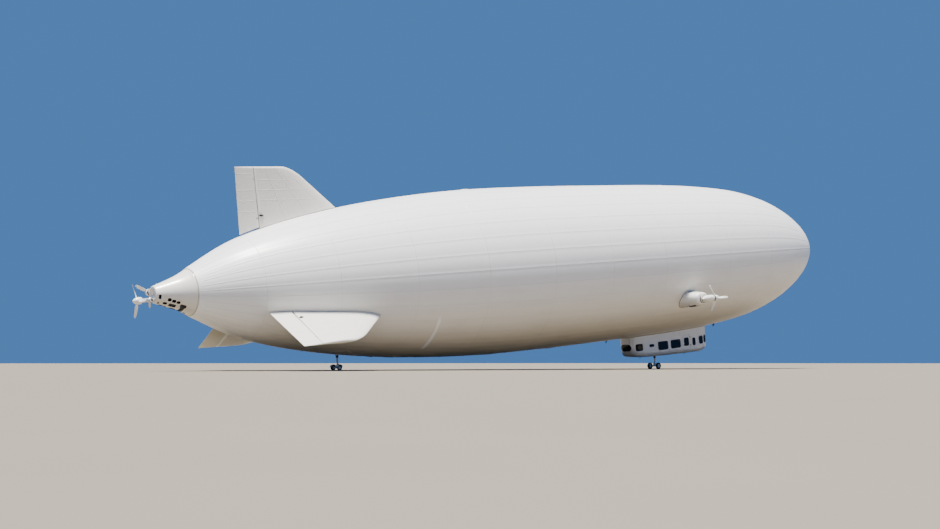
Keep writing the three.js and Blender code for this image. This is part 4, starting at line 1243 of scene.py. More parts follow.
def root_level(chord, gap):
    """Where a line of the fin meets the hull, found by a few better and better guesses."""
    level = FIN_ROOT_RADIUS
    for _ in range(12):
        level = hull_radius(-on_fin(chord, level, 1).x) + gap
    return level


print("fin chord at the root", round(FIN_HINGE - leading_edge(FIN_ROOT_RADIUS), 2), "m")

# %% [markdown]
# ## Fin skins
# A fin's shell is bonded over spars and ribs, and a dark brown band in the gap between its root and the
# hull is painted shade. Both are the same rows of points, as rings up the fin: the band is a little thinner
# and stops low.
# One upright fin is made and turned about the hull's axis three times.


# %% Fin skins
def fin_skin(gap, thin=1.0, top_share=1.0):
    loop = [(c, 1) for c in FIN_CHORDS] + [(c, -1) for c in reversed(FIN_CHORDS[1:])]
    roots = [root_level(chord, gap) for chord, _ in loop]
    rows = []
    for share in FIN_HEIGHTS:
        ring = []
        for (chord, side), root in zip(loop, roots):
            point = on_fin(chord, root + (FIN_TIP - root) * share * top_share, side)
            ring.append((point.x, point.y * thin, point.z))
        rows.append(ring)
    return grid(rows)


def about_axis(shape, turn):
    return shape.moved(Matrix.Rotation(math.radians(turn), 4, "X"))


fin_shape = fin_skin(ROOT_GAP)
# a dark band low in the root gap, painted shade
root_shade_shape = fin_skin(-0.12, 0.86, 0.06)
for name, turn in FINS.items():
    make(f"fin_skin_{name}", about_axis(fin_shape, turn), FIN_PAINT, [f"fin_{name}"])
    make(f"fin_root_shade_{name}", about_axis(root_shade_shape, turn), ROOT_GAP_SHADE)

# %% [markdown]
# ## Tapes on the fins
# Thin tapes mark the spars and ribs under the skin. A tape is laid through points of chord and height, once
# on each face, and is square to its own line, whichever way that runs.

# %% Fin tapes
SPARS = (0.2, 0.45, 0.72)
RIBS = (6.45, 7.2, 7.95)


def fin_line(points, width, lift):
    """A tape along points of chord and level on both faces of an upright fin."""
    made = []
    for side in BOTH:
        rows = []
        for i, (chord, level) in enumerate(points):
            before = points[max(i - 1, 0)]
            after = points[min(i + 1, len(points) - 1)]
            along = on_fin(*after, side) - on_fin(*before, side)
            across = along.cross(Vector((0, 1, 0))).normalized() * width / 2
            here = on_fin(chord, level, side)
            rows.append([
                here + across * share + Vector((0, side * height, 0))
                for share, height in ((-1, -0.004), (-0.8, lift), (0.8, lift), (1, -0.004))
            ])
        made.append(sheet(rows))
    return joined(made)


def fin_tapes():
    lines = []
    for chord in SPARS:
        start = root_level(chord, ROOT_GAP) + 0.05
        lines.append(fin_line([(chord, level) for level in spaced(start, FIN_TIP - 0.35, 12)], 0.06, 0.004))
    for level in RIBS:
        lines.append(fin_line([(chord, level) for chord in spaced(0.1, 0.97, 16)], 0.05, 0.004))
    return joined(lines)


print("tapes on a fin", 2 * (len(SPARS) + len(RIBS)))

# %% [markdown]
# ## Hinges, strips and blisters of the fins
# Two steel hinges reach into each rudder, and a pale sealing strip runs along the hinge line. A small dark
# blister near the root, on both faces, covers the rudder's actuator.

# %% Fin details
HINGE_LEVELS = (5.1, 8.0)
FULLEST = 0.625


def fin_hinges():
    parts = []
    for level in HINGE_LEVELS:
        pin = at(FIN_HINGE, 0, level)
        parts += [
            box_between(pin - Vector((0, 0.03, 0.015)), pin + Vector((0.24, 0.03, 0.015)), 0.006),
            turned([(0, -0.015), (0.05, -0.015), (0.05, 0.015), (0, 0.015)], 24).moved(shift(pin)),
            bar(pin - Vector((0, 0, 0.075)), pin + Vector((0, 0, 0.075)), 0.022),
        ]
    return joined(parts)


def blister(place, length, width, height, side):
    """A streamlined cover: round nose, long tail, half of it sunk."""
    rows = []
    for i in range(15):
        t = i / 14
        swelling = math.sin(math.pi * t * 0.8)
        tapering = math.cos(math.pi / 2 * (t - FULLEST) / (1 - FULLEST))
        fat = max(swelling if t < FULLEST else tapering, 0.02)
        rows.append([((0.4 - t) * length, c * width / 2 * fat, s * height * fat) for c, s in compass(20)])
    return grid(rows).moved(shift(place) @ Matrix.Rotation(-math.pi / 2 * side, 4, "X"))


hinge_line = [(0.982, level) for level in spaced(5.5, FIN_TIP - 0.1, 18)]
blisters = joined([blister(on_fin(0.965, 5.3, side), 0.42, 0.15, 0.10, side) for side in BOTH])
fin_details = {
    "fin_hinges": (fin_hinges(), STEEL, 35),
    "fin_hinge_strip": (fin_line(hinge_line, 0.11, 0.007), BRIGHT, 60),
    "fin_tapes": (fin_tapes(), FIN_PAINT, 60),
    "rudder_actuator": (blisters, BLACK_AND_HOLLOW_SHADE, 35),
}
for name, turn in FINS.items():
    for detail, (shape, finish, smooth) in fin_details.items():
        make(f"{detail}_{name}", about_axis(shape, turn), finish, smooth=smooth)

# %% [markdown]
# ## Rudders
# A rudder is a flap with a round nose about the hinge pin and flat sides that meet in a thin edge. Its
# root is cut to clear the skin at full swing, and two notches let the fin's hinges in.

# %% Rudder shape
RUDDER_CHORD = 1.45
RUDDER_EDGE = 0.012
RUDDER_CLEARS = 0.15
NOTCH_HALF = 0.027
NOTCH_DEPTH = 0.062


def on_rudder(share, level, side, lift=0.0):
    """A point of an upright rudder's flat side, from its hinge to its edge."""
    nose = half_thickness(level) * FOIL[-1][1]
    out = nose + (min(RUDDER_EDGE, nose / 2) - nose) * share + lift
    return at(FIN_HINGE + RUDDER_CHORD * share, side * out, level)


def rudder_nose(angle, level):
    radius = half_thickness(level) * FOIL[-1][1]
    return at(FIN_HINGE - radius * math.sin(angle), radius * math.cos(angle), level)


def rudder_skin():
    loop = [lambda level, a=angle: rudder_nose(a, level) for angle in spaced(0, math.pi, 13)]
    sides = spaced(0, 1, 9)[1:]
    loop += [lambda level, s=share: on_rudder(s, level, -1) for share in sides]
    loop += [lambda level, s=share: on_rudder(s, level, 1) for share in reversed(sides)]
    roots = [hull_radius(-point(6.0).x) + RUDDER_CLEARS for point in loop]
    rows = [
        [point(root + (FIN_TIP - root) * share) for point, root in zip(loop, roots)] for share in FIN_HEIGHTS
    ]
    notches = []
    for level in HINGE_LEVELS:
        low = at(FIN_HINGE + NOTCH_DEPTH, -0.4, level - NOTCH_HALF)
        notches.append(box_between(low, at(FIN_HINGE - 0.5, 0.4, level + NOTCH_HALF)))
    return carved(grid(rows), joined(notches))


rudder_shape = rudder_skin()
print("rudder", len(rudder_shape.faces), "faces")

# %% [markdown]
# ## Rudder tapes and wicks
# Rib tapes and static wicks, which bleed off electric charge, ride on the rudder. All its pieces name the
# rudder's body, so they swing with it, and each of the three rudders is the same one turned.

# %% Rudder pieces
RUDDER_RIBS = (5.6, 6.4, 7.2, 8.4)
WICKS = (7.0, 7.8, 8.6)


def rudder_rib(level, side):
    return sheet([
        [
            on_rudder(share, level + rise, side, lift)
            for rise, lift in ((-0.025, -0.004), (-0.02, 0.004), (0.02, 0.004), (0.025, -0.004))
        ]
        for share in spaced(0.06, 0.96, 10)
    ])


def wick(level):
    edge = at(FIN_HINGE + RUDDER_CHORD, 0, level)
    return bar(edge + Vector((0.03, 0, 0)), edge - Vector((0.12, 0, 0)), 0.006, 8)


rib_shape = joined([rudder_rib(level, side) for side in BOTH for level in RUDDER_RIBS])
wick_shape = joined([wick(level) for level in WICKS])
for name, turn in FINS.items():
    body = f"rudder_{name}"
    make(f"rudder_skin_{name}", about_axis(rudder_shape, turn), FIN_PAINT, [body], body)
    make(f"rudder_tapes_{name}", about_axis(rib_shape, turn), FIN_PAINT, body=body, smooth=60)
    make(f"rudder_wicks_{name}", about_axis(wick_shape, turn), STEEL, body=body)

# %% [markdown]
# ## Side engine nacelles
# Each nacelle is a short boxy pod on a stub out of the hull, flat-sided with rounded corners: a
# superellipse that shrinks to a neck. Louvred vents open in its underside and a ram inlet in its nose.

# %% Nacelle shell
ENGINE_STATION = 24.85
ENGINE_HEIGHT = -3.88
# out, half length, half height
NACELLE = [
    (5.2, 0.95, 0.72), (6.3, 0.92, 0.70), (7.0, 0.84, 0.64), (7.5, 0.80, 0.58), (7.66, 0.74, 0.53),
    (7.72, 0.62, 0.46), (7.76, 0.44, 0.38), (8.02, 0.36, 0.34),
]
NACELLE_OUTS = [
    *spaced(5.2, 7.3, 15), 7.4, 7.5, 7.56, 7.61, 7.66, 7.69, 7.72, 7.74, 7.76, 7.82, 7.9, 7.98, 8.01, 8.02,
]
NACELLE_POWER = 2.6
VENT_PLACES = (-0.45, -0.15, 0.15, 0.45)
VENT_FROM, VENT_TO = 6.45, 7.25
VENT_MIDDLE = (VENT_FROM + VENT_TO) / 2
INLET_OUT, INLET_UP = 6.75, 0.12
nacelle_length = flowing(NACELLE, 1)
nacelle_height = flowing(NACELLE, 2)


def by_engine(ahead, out, up):
    """A point by how far it is ahead of the side engines, out from the keel line, and above the engines."""
    return at(ENGINE_STATION - ahead, out, ENGINE_HEIGHT + up)


def superellipse(i, count, half_x, half_y):
    """One of a ring's points on a rounded box, as a pair."""
    angle = 2 * math.pi * (i + 0.5) / count
    x, y = math.cos(angle), math.sin(angle)
    bend = 2 / NACELLE_POWER
    return math.copysign(abs(x) ** bend, x) * half_x, math.copysign(abs(y) ** bend, y) * half_y


def nacelle_ring(out, grow=0.0, count=72):
    ring = []
    for i in range(count):
        ahead, up = superellipse(i, count, nacelle_length(out) + grow, nacelle_height(out) + grow)
        ring.append(by_engine(ahead, out, up))
    return ring


def vent_tool(ahead):
    outline = rounded_outline(0.20, VENT_TO - VENT_FROM, 0.05)
    return prism([by_engine(ahead + x, VENT_MIDDLE + y, -0.9) for x, y in outline], (0, 0, 0.42))


def inlet_tool():
    outline = rounded_outline(0.62, 0.22, 0.1)
    return prism([by_engine(1.2, INLET_OUT + x, INLET_UP + y) for x, y in outline], (-0.45, 0, 0))


nacelle_body = grid([nacelle_ring(out) for out in NACELLE_OUTS])
nacelle_shell = carved(nacelle_body, joined([*[vent_tool(a) for a in VENT_PLACES], inlet_tool()]))
print("nacelle shell", len(nacelle_shell.faces), "faces")

# %% [markdown]
# ## Vents, bands and root of a nacelle
# Slats stand in each vent and cooler fins in the inlet. Raised bands show where the panels join, a dark
# bead at the hull is painted shade for the gap there, and an exhaust stub bends out of the underside.
# Everything is made for the port side once, then mirrored.


# %% Nacelle details
def nacelle_drop(ahead, out):
    """How far below the engine's height the underside is."""
    across = abs(ahead) / nacelle_length(out)
    return nacelle_height(out) * (1 - across ** NACELLE_POWER) ** (1 / NACELLE_POWER)


def louvres():
    """Slanting slats inside each vent, and the fins of the oil cooler in the inlet."""
    slat = soft_box((0.196, 0.055, 0.008), 0.002, 1).moved(Matrix.Rotation(math.radians(38), 4, "X"))
    fin = soft_box((0.05, 0.008, 0.2), 0.002, 1)
    slats = []
    for ahead in VENT_PLACES:
        for out in spaced(VENT_FROM + 0.07, VENT_TO - 0.07, 9):
            drop = nacelle_drop(abs(ahead) + 0.1, out)
            slats.append(slat.moved(shift(by_engine(ahead, out, 0.035 - drop))))
    slats += [fin.moved(shift(by_engine(0.80, out, INLET_UP))) for out in spaced(6.48, 7.02, 14)]
    return joined(slats)


def vent_frames():
    frames = []
    for ahead in VENT_PLACES:
        path = []
        for x, y in rounded_outline(0.22, VENT_TO - VENT_FROM + 0.02, 0.06):
            out = VENT_MIDDLE + y
            path.append(by_engine(ahead + x, out, -nacelle_drop(ahead + x, out)))
        frames.append(pipe(path, 0.010, 6, closed=True))
    return joined(frames)


def nacelle_band(out, width, lift):
    """A raised band round the nacelle."""
    low, high = out - width / 2, out + width / 2
    profile = ((low, -0.004), (low, lift), (high, lift), (high, -0.004))
    return grid([nacelle_ring(place, height) for place, height in profile], caps=False)


def nacelle_root():
    """A dark bead along the line where both skins meet, painted shade for the gap where the nacelle leaves
    the hull.
    """
    path = []
    for i in range(96):
        ahead, up = superellipse(i, 96, nacelle_length(5.6), nacelle_height(5.6))
        station, height = ENGINE_STATION - ahead, ENGINE_HEIGHT + up
        path.append(at(station, math.sqrt(hull_radius(station) ** 2 - height ** 2), height))
    return pipe(path, 0.028, 6, closed=True)


print("nacelle underside", round(nacelle_drop(0, VENT_MIDDLE), 2), "m below the engine")

# %% [markdown]
# ## Nacelle pieces
# The details get their finishes here and go on both sides of the craft. The engine in each nacelle is
# already there as a plain solid, so it only gets another finish.

# %% Nacelle pieces
along_latch, across_latch = soft_box((0.12, 0.035, 0.012), 0.004), soft_box((0.035, 0.12, 0.012), 0.004)
nacelle_trim = [nacelle_band(6.18, 0.05, 0.006), nacelle_band(7.42, 0.035, 0.005)]
nacelle_trim += [along_latch.moved(shift(by_engine(a, 6.3, 0.70))) for a in (-0.5, 0.0, 0.5)]
nacelle_trim += [across_latch.moved(shift(by_engine(a, 7.2, 0.622))) for a in (-0.45, 0.45)]
exhaust_path = [at(25.30, 6.72, -4.2), at(25.52, 6.72, -4.36), at(25.7, 6.72, -4.45), at(25.86, 6.72, -4.48)]
nacelle_pieces = {
    # the pockets are the walls of the vents and the inlet, black as painted shade
    "pockets": (nacelle_shell.part(1), BLACK_AND_HOLLOW_SHADE),
    "root_gap": (nacelle_root(), ROOT_GAP_SHADE),
    "louvres": (louvres(), BLACK_AND_HOLLOW_SHADE),
    "vent_frames": (vent_frames(), RUBBER),
    "bands": (joined(nacelle_trim), SHELL_PAINT),
    "neck_rings": (joined([nacelle_band(7.80, 0.06, 0.012), nacelle_band(7.97, 0.05, 0.014)]), RUBBER),
    "exhaust": (pipe(exhaust_path, 0.055, 20), STEEL),
}


def repaint(node, finish):
    """Another finish on a plain solid that stays in view."""
    materials = frame["nodes"][node].data.materials
    materials.clear()
    materials.append(finish)


for name, side in SIDES.items():
    shell = nacelle_shell.part(0).sided(side)
    make(f"nacelle_shell_{name}", shell, SHELL_PAINT, [f"nacelle_{name}"], smooth=30)
    for detail, (shape, finish) in nacelle_pieces.items():
        make(f"nacelle_{detail}_{name}", shape.sided(side), finish)
    repaint(f"engine_{name}", CAST)

# %% [markdown]
# ## Swivelling gearboxes
# Outboard of each nacelle a teardrop gearbox turns about a cross shaft, so the propeller can push up or
# forward. It is a lathe shape with a bolted collar.

# %% Gearboxes
SWIVEL_OUT = 8.4
# radius, distance ahead of the swivel axis
GEARBOX = [
    (0, -0.88), (0.045, -0.868), (0.085, -0.82), (0.13, -0.73), (0.175, -0.63), (0.21, -0.55), (0.255, -0.36),
    (0.29, -0.16), (0.30, -0.05), (0.30, 0.36), (0.298, 0.40), (0.28, 0.52), (0.262, 0.64), (0.25, 0.70),
    (0.235, 0.72), (0, 0.72),
]


def gearbox_parts():
    """The body, its collar and stub about the swivel axis, which is the local origin, and the dark bands."""
    collar = turned([(0, 0), (0.285, 0), (0.29, 0.02), (0.29, 0.34), (0.28, 0.365), (0, 0.365)], 56)
    stub = turned([(0, 0.3), (0.13, 0.3), (0.13, 0.56), (0, 0.56)], 32)
    cap = turned([(0, 0.20), (0.14, 0.20), (0.14, 0.29), (0.125, 0.31), (0, 0.31)], 40)
    body = turned(GEARBOX, 64).moved(AHEAD)
    body = joined([body, collar.moved(TO_STARBOARD), stub.moved(TO_STARBOARD), cap.moved(TO_PORT)])
    near_band = turned([(0.29, 0.31), (0.296, 0.31), (0.296, 0.345), (0.29, 0.345), (0.29, 0.31)], 56)
    front_band = turned([(0.29, 0.53), (0.284, 0.53), (0.262, 0.66), (0.27, 0.66), (0.29, 0.53)], 64)
    bands = joined([near_band.moved(TO_STARBOARD), front_band.moved(AHEAD)])
    heads = joined([
        bolts((0.46, 0, 0), (1, 0, 0), 0.285, 14, 0.012, 0.02),
        bolts((0, -0.355, 0), (0, -1, 0), 0.22, 12, 0.014, 0.016),
        bolts((0, 0.295, 0), (0, 1, 0), 0.1, 8, 0.014, 0.02),
    ])
    return body, bands, heads


for name, side in SIDES.items():
    swivel = shift(at(ENGINE_STATION, side * SWIVEL_OUT, ENGINE_HEIGHT))
    body, bands, heads = [shape.sided(side).moved(swivel) for shape in gearbox_parts()]
    rides = f"swivel_{name}"
    make(f"gearbox_body_{name}", body, SHELL_PAINT, [f"gearbox_{name}"], rides)
    make(f"gearbox_bands_{name}", bands, RUBBER, body=rides)
    make(f"gearbox_bolts_{name}", heads, STEEL, body=rides)

# %% [markdown]
# ## Propeller blades
# A blade is lofted from thin foil sections, steep at the root and flatter towards the narrow tip. The same
# sections, a little proud and only at the front, give the metal strip that guards its leading edge.

# %% Blades
# share of the radius, chord, twist in degrees, thickness
BLADE = [
    (0.1, 0.1, 55, 0.09), (0.28, 0.2, 45, 0.055), (0.5, 0.26, 33, 0.04), (0.75, 0.24, 24, 0.028),
    (0.93, 0.18, 19, 0.02), (0.985, 0.115, 18.2, 0.014), (1, 0.05, 18, 0.008),
]
BLADE_SHARES = [0.12, 0.16, 0.2, 0.24, *spaced(0.28, 0.93, 16), 0.95, 0.965, 0.978, 0.988, 0.995, 1.0]
FOIL_STEPS = 12
WHOLE_CHORD = (-0.5, 0.5)
GUARD_CHORD = (-0.502, -0.40)
blade_chord, blade_twist, blade_thick = [flowing(BLADE, column) for column in (1, 2, 3)]


def blade_ring(share, radius, span, grow=0.0):
    """One foil section of a blade that points up, between two places along its chord."""
    chord, thick = blade_chord(share), blade_thick(share)
    angle = math.radians(blade_twist(share))
    places = crowded(*span, FOIL_STEPS)
    ring = []
    for x, face in [(x, 1) for x in places] + [(x, -1) for x in reversed(places[1:-1])]:
        t = x + 0.5
        fat = 1.32 * (math.sqrt(max(t, 0)) * 0.95 * (1 - t) + 0.35 * t * (1 - t))
        camber = 0.05 * chord * 4 * t * (1 - t)
        up = face * fat * thick / 0.62 * 0.5 + camber * 0.5 + face * grow
        side = x * chord
        forward = side * math.sin(angle) + up * math.cos(angle)
        across = side * math.cos(angle) - up * math.sin(angle)
        ring.append((forward, across, share * radius))
    return ring


print("blade sections", len(BLADE_SHARES))

# %% [markdown]
# ## Propellers
# Every propeller has three blades on a spinner, which is turned on a lathe like its back plate and shaft.
# The blades are painted, the hub is steel and the edges are bright, so it is three pieces on one body.

# %% Propellers
BLADE_TURNS = (0, 120, 240)


def propeller(radius, first_angle):
    """White blades, their metal edges, the spinner and its dark parts, about the disc's middle."""
    blade = grid([blade_ring(share, radius, WHOLE_CHORD) for share in BLADE_SHARES])
    guard = grid([blade_ring(share, radius, GUARD_CHORD, 0.0015) for share in spaced(0.42, 0.97, 16)])
    cuff = turned([(0, 0.10), (0.062, 0.10), (0.062, 0.20), (0.05, 0.26), (0.03, 0.30), (0, 0.30)], 28)
    spinner = turned([
        (0, -0.245), (0.235, -0.245), (0.25, -0.225), (0.25, -0.03), (0.243, 0.03), (0.225, 0.10),
        (0.19, 0.19), (0.14, 0.27), (0.085, 0.33), (0.04, 0.36), (0, 0.37),
    ], 64)
    plate = turned([(0, -0.26), (0.245, -0.26), (0.25, -0.25), (0.25, -0.24), (0, -0.24)], 64)
    shaft = turned([(0, -0.36), (0.06, -0.36), (0.06, -0.25), (0, -0.25)], 24)
    screws = bolts((-0.05, 0, 0), (1, 0, 0), 0.243, 12, 0.008, 0.05)
    turns = [Matrix.Rotation(math.radians(first_angle + angle), 4, "X") for angle in BLADE_TURNS]
    blades, cuffs, guards = [[shape.moved(turn) for turn in turns] for shape in (blade, cuff, guard)]
    dark = joined([plate.moved(AHEAD), shaft.moved(AHEAD), screws, *cuffs])
    return joined([spinner.moved(AHEAD), *blades]), dark, joined(guards)


def add_propeller(name, radius, first_angle, placed):
    white, dark, guards = [shape.moved(placed) for shape in propeller(radius, first_angle)]
    body = f"propeller_{name}"
    make(f"propeller_blades_{name}", white, BLADE_PAINT, [body], body, 40)
    make(f"propeller_hub_{name}", dark, STEEL, body=body)
    make(f"propeller_edges_{name}", guards, ALUMINIUM, body=body, smooth=60)


DISC_AHEAD = 1.0
for name, side in SIDES.items():
    disc = shift(at(ENGINE_STATION - DISC_AHEAD, side * SWIVEL_OUT, ENGINE_HEIGHT))
    add_propeller(name, 1.35, -90 * side, disc)

# %% [markdown]
# ## Stern housing
# The hull ends in a cowl with a slight inward flare. The stern engine breathes through a cluster of
# openings beneath it, each cut by its own tool. Two ears at the end carry the swivelling gearbox.

# %% Stern housing
# radius, station
STERN = [
    (0, 70.9), (1.66, 70.9), (1.70, 70.905), (1.69, 70.93), (1.645, 70.95), (1.63, 71.0), (1.61, 71.02),
    (1.50, 71.25), (1.42, 71.4), (1.29, 71.67), (1.17, 71.95), (1.08, 72.2), (0.97, 72.5), (0.88, 72.76),
    (0.80, 73.0), (0.73, 73.2), (0.66, 73.4), (0.62, 73.53), (0.60, 73.58), (0.575, 73.6), (0, 73.6),
]
# station, degrees from straight down, length, width
STERN_VENTS = [
    (71.75, -38, 0.4, 0.34), (71.75, 0, 0.4, 0.34), (71.75, 38, 0.4, 0.34), (72.45, -30, 0.45, 0.3),
    (72.45, 30, 0.45, 0.3), (73.1, 0, 0.3, 0.3),
]
# the smaller openings: a slanting row at each side, lone ones with a rubber lip, and the slots that join
# the three forward openings into one bar
STERN_SLOTS, STERN_BRIDGES = [], []
LIPPED = [(71.37, 0, 0.14, 0.14), (72.25, 0, 0.44, 0.22), (72.80, 0, 0.14, 0.2)]
for side in (-1, 1):
    STERN_SLOTS += [
        (72.12, side * 52, 0.26, 0.22), (72.42, side * 55, 0.26, 0.24), (72.72, side * 60, 0.24, 0.26),
    ]
    LIPPED += [(72.96, side * 35, 0.24, 0.2), (73.36, side * 74, 0.14, 0.28), (73.38, side * 25, 0.1, 0.14)]
    STERN_BRIDGES.append((71.75, side * 19, 0.28, 0.54))
REAR_PIVOT = at(73.85, 0, -0.35)
EAR_OUT, EAR_HALF = 0.23, 0.03
stern_radius = flowing(sorted({station: radius for radius, station in STERN[1:-1]}.items()), 1)


def stern_tool(station, angle, length, width):
    radius = stern_radius(station)
    outline = rounded_outline(length, width, min(0.07, length * 0.4, width * 0.4))
    return about_axis(prism([(x - station, y, -radius - 0.3) for x, y in outline], (0, 0, 0.42)), angle)


def ear(out):
    block = box_between(at(73.86, out - EAR_HALF, -0.47), at(73.55, out + EAR_HALF, -0.23))
    boss = turned([(0, -EAR_HALF), (0.12, -EAR_HALF), (0.12, EAR_HALF), (0, EAR_HALF)], 32)
    return joined([block, boss.moved(facing(REAR_PIVOT + Vector((0, out, 0)), (0, 1, 0)))])


openings = joined([stern_tool(*vent) for vent in STERN_VENTS + STERN_SLOTS + LIPPED])
cowl = carved(turned(STERN, 96).moved(AFT), openings)
cowl = carved(cowl, joined([stern_tool(*slot) for slot in STERN_BRIDGES]))
outer_cowl = joined([cowl.part(0), ear(-EAR_OUT), ear(EAR_OUT)])
make("stern_cowl", outer_cowl, SHELL_PAINT, ["stern_housing"], smooth=30)
# the walls of the openings are black as painted shade
make("stern_pockets", cowl.part(1), BLACK_AND_HOLLOW_SHADE)
# the stern engine, seen only through the openings, is black as painted shade
repaint("engine_stern", BLACK_AND_HOLLOW_SHADE)

# %% [markdown]
# ## Meshes, lips and rings of the stern
# A wire mesh follows the cowl inside the larger openings and keeps birds and stones out. The lone openings
# have a rubber lip. A sealant ring marks the joint with the envelope, and a bolted plate closes the end.


# %% Stern details
def stern_mesh(station, angle, length, width):
    """Crossed wires that follow the cowl, a little inside its openings."""
    def inside(x, turn):
        radius = stern_radius(station - x) - 0.04
        return (x - station, radius * math.sin(turn), -radius * math.cos(turn))

    half = width / 2 / stern_radius(station)
    bends = spaced(-half, half, round(width / 0.08) + 1)
    paths = []
    for x in spaced(-length / 2, length / 2, round(length / 0.05) + 1):
        paths.append([inside(x, turn) for turn in bends])
    for turn in spaced(-half, half, round(width / 0.05) + 1):
        paths.append([inside(x, turn) for x in spaced(-length / 2, length / 2, 4)])
    return about_axis(joined([pipe(path, 0.006, 6) for path in paths]), angle)


def stern_frame(station, angle, length, width):
    path = []
    for x, y in rounded_outline(length + 0.03, width + 0.03, min(0.08, length * 0.45, width * 0.45)):
        path.append((x - station, y, -math.sqrt(stern_radius(station - x) ** 2 - y ** 2)))
    return about_axis(pipe(path, 0.012, 6, closed=True), angle)


FORWARD_MESH = (71.75, 0, 0.38, 2.0)
meshes = [stern_mesh(*vent) for vent in [FORWARD_MESH, *STERN_VENTS[3:]]]
make("stern_meshes", joined(meshes), DARK_WIRE)
make("stern_lips", joined([stern_frame(*vent) for vent in LIPPED + STERN_VENTS[3:5]]), RUBBER)
end_disc = turned([
    (0, 73.59), (0.44, 73.59), (0.455, 73.605), (0.44, 73.62), (0.30, 73.622), (0.28, 73.61), (0, 73.61),
], 56)
end_bolts = [
    bolts(at(73.602, 0, 0), (-1, 0, 0), ring, count, 0.012, 0.014) for ring, count in ((0.52, 24), (0.37, 12))
]
make("stern_end_plate", joined([end_disc.moved(AFT), *end_bolts]), ALUMINIUM)
groove = turned([
    (1.70, 70.88), (1.715, 70.885), (1.715, 70.905), (1.66, 70.95), (1.64, 70.95), (1.66, 70.88),
    (1.70, 70.88),
], 96)
make("stern_joint_ring", groove.moved(AFT), SEALANT)

# %% [markdown]
# ## Running lights
# Red to port and green to starboard on the nacelles, and a white one above the stern cowl, each a small
# glass dome on a foot, as every craft that flies at night carries.

# %% Running lights
LIGHT_OUT, LIGHT_STATION = 7.1, 73.25
LIGHT_SIZE = Matrix.Scale(0.8, 4)
on_nacelle = nacelle_height(LIGHT_OUT) - 0.006
light_places = {
    "port": (by_engine(0, LIGHT_OUT, on_nacelle), RED_LAMP),
    "starboard": (by_engine(0, -LIGHT_OUT, on_nacelle), GREEN_LAMP),
    "stern": (at(LIGHT_STATION, 0, stern_radius(LIGHT_STATION) - 0.012), CLEAR_LAMP),
}
for name, (spot, glass) in light_places.items():
    base, dome = [shape.moved(shift(spot) @ LIGHT_SIZE) for shape in beacon()]
    make(f"light_foot_{name}", base, SHELL_PAINT)
    make(f"light_glass_{name}", dome, glass)

# %% [markdown]
# ## Stern propellers
# One propeller at the very stern drives the craft ahead and tilts down to lift the tail. Another beside the
# cowl pushes the stern to one side. Both gearboxes are small lathe shapes.

# %% Stern gearboxes and propellers
REAR_DISC = 0.9
LATERAL_STATION, LATERAL_HEIGHT, LATERAL_OUT = 73.3, 0.2, 1.25
backward = shift(REAR_PIVOT) @ Matrix.Rotation(math.pi, 4, "Z")
barrel = turned([(0, -0.188), (0.16, -0.188), (0.17, -0.178), (0.17, 0.178), (0.16, 0.188), (0, 0.188)])
pins = turned([(0, -0.26), (0.06, -0.26), (0.06, 0.26), (0, 0.26)], 24)
neck = turned([
    (0, 0), (0.14, 0), (0.145, 0.2), (0.15, 0.38), (0.16, 0.52), (0.19, 0.575), (0.22, 0.6), (0.22, 0.628),
    (0, 0.628),
])
rear_box = joined([barrel.moved(TO_PORT), pins.moved(TO_PORT), neck.moved(AHEAD)])
make("rear_gearbox_body", rear_box.moved(backward), ALUMINIUM, ["gearbox_rear"], "swivel_rear")
rear_bolts = joined([
    bolts((0.585, 0, 0), (-1, 0, 0), 0.19, 10, 0.012, 0.02),
    bolts((0.3, 0, 0), (1, 0, 0), 0.15, 8, 0.012, 0.02),
])
make("rear_gearbox_bolts", rear_bolts.moved(backward), STEEL, body="swivel_rear")
add_propeller("rear", 1.35, -90, backward @ shift((REAR_DISC, 0, 0)))

sideways = shift(at(LATERAL_STATION, 0, LATERAL_HEIGHT)) @ Matrix.Rotation(math.pi / 2, 4, "Z")
lateral_body = turned([
    (0, 0.45), (0.265, 0.45), (0.255, 0.6), (0.225, 0.78), (0.205, 0.88), (0.20, 0.93), (0.20, 0.97),
    (0.19, 0.978), (0, 0.978),
])
lateral_ring = turned([(0.2, 0.9), (0.212, 0.9), (0.212, 0.94), (0.2, 0.94), (0.2, 0.9)])
make("lateral_gearbox", lateral_body.moved(sideways @ AHEAD), SHELL_PAINT, ["lateral_drive"])
make("lateral_gearbox_ring", lateral_ring.moved(sideways @ AHEAD), RUBBER)
add_propeller("lateral", 1.1, 180, sideways @ shift((LATERAL_OUT, 0, 0)))

# %% [markdown]
# ## Gondola shell
# The cabin is a composite tub: flat sides, a rounded bilge, a blunt glazed nose and a round tail. It is
# lofted through rings, and each end is closed with a shallow dome. A smaller loft hollows it.

# %% Gondola lofts
# station, half width, bottom
GONDOLA = [
    (16.58, 0.42, -8.3), (16.66, 0.6, -8.62), (16.9, 0.84, -8.88), (17.4, 1.02, -9.06), (18.2, 1.12, -9.15),
    (22, 1.125, -9.1), (25.8, 1.12, -8.98), (26.5, 1.04, -8.88), (26.9, 0.86, -8.7), (27.1, 0.6, -8.42),
]
FIRST, LAST = GONDOLA[0][0], GONDOLA[-1][0]
GONDOLA_PLACES = [
    *spaced(FIRST, 16.66, 5), *spaced(16.7, 17.4, 12), *spaced(17.5, 18.4, 8), *spaced(18.9, 25.6, 14),
    *spaced(25.9, 26.8, 10), *spaced(26.84, LAST, 7),
]
GONDOLA_TOP = -6.55
WALL = 0.05
BILGE_RISE, BILGE_INSET = 0.5, 0.37
NOSE_DOME, TAIL_DOME = 0.05, 0.07
DOME_SHARES = (0.97, 0.9, 0.8, 0.65, 0.45, 0.2, 0.02)
DOME_MIDDLE = -7.4
gondola_half = flowing(GONDOLA, 1)
gondola_bottom = flowing(GONDOLA, 2)


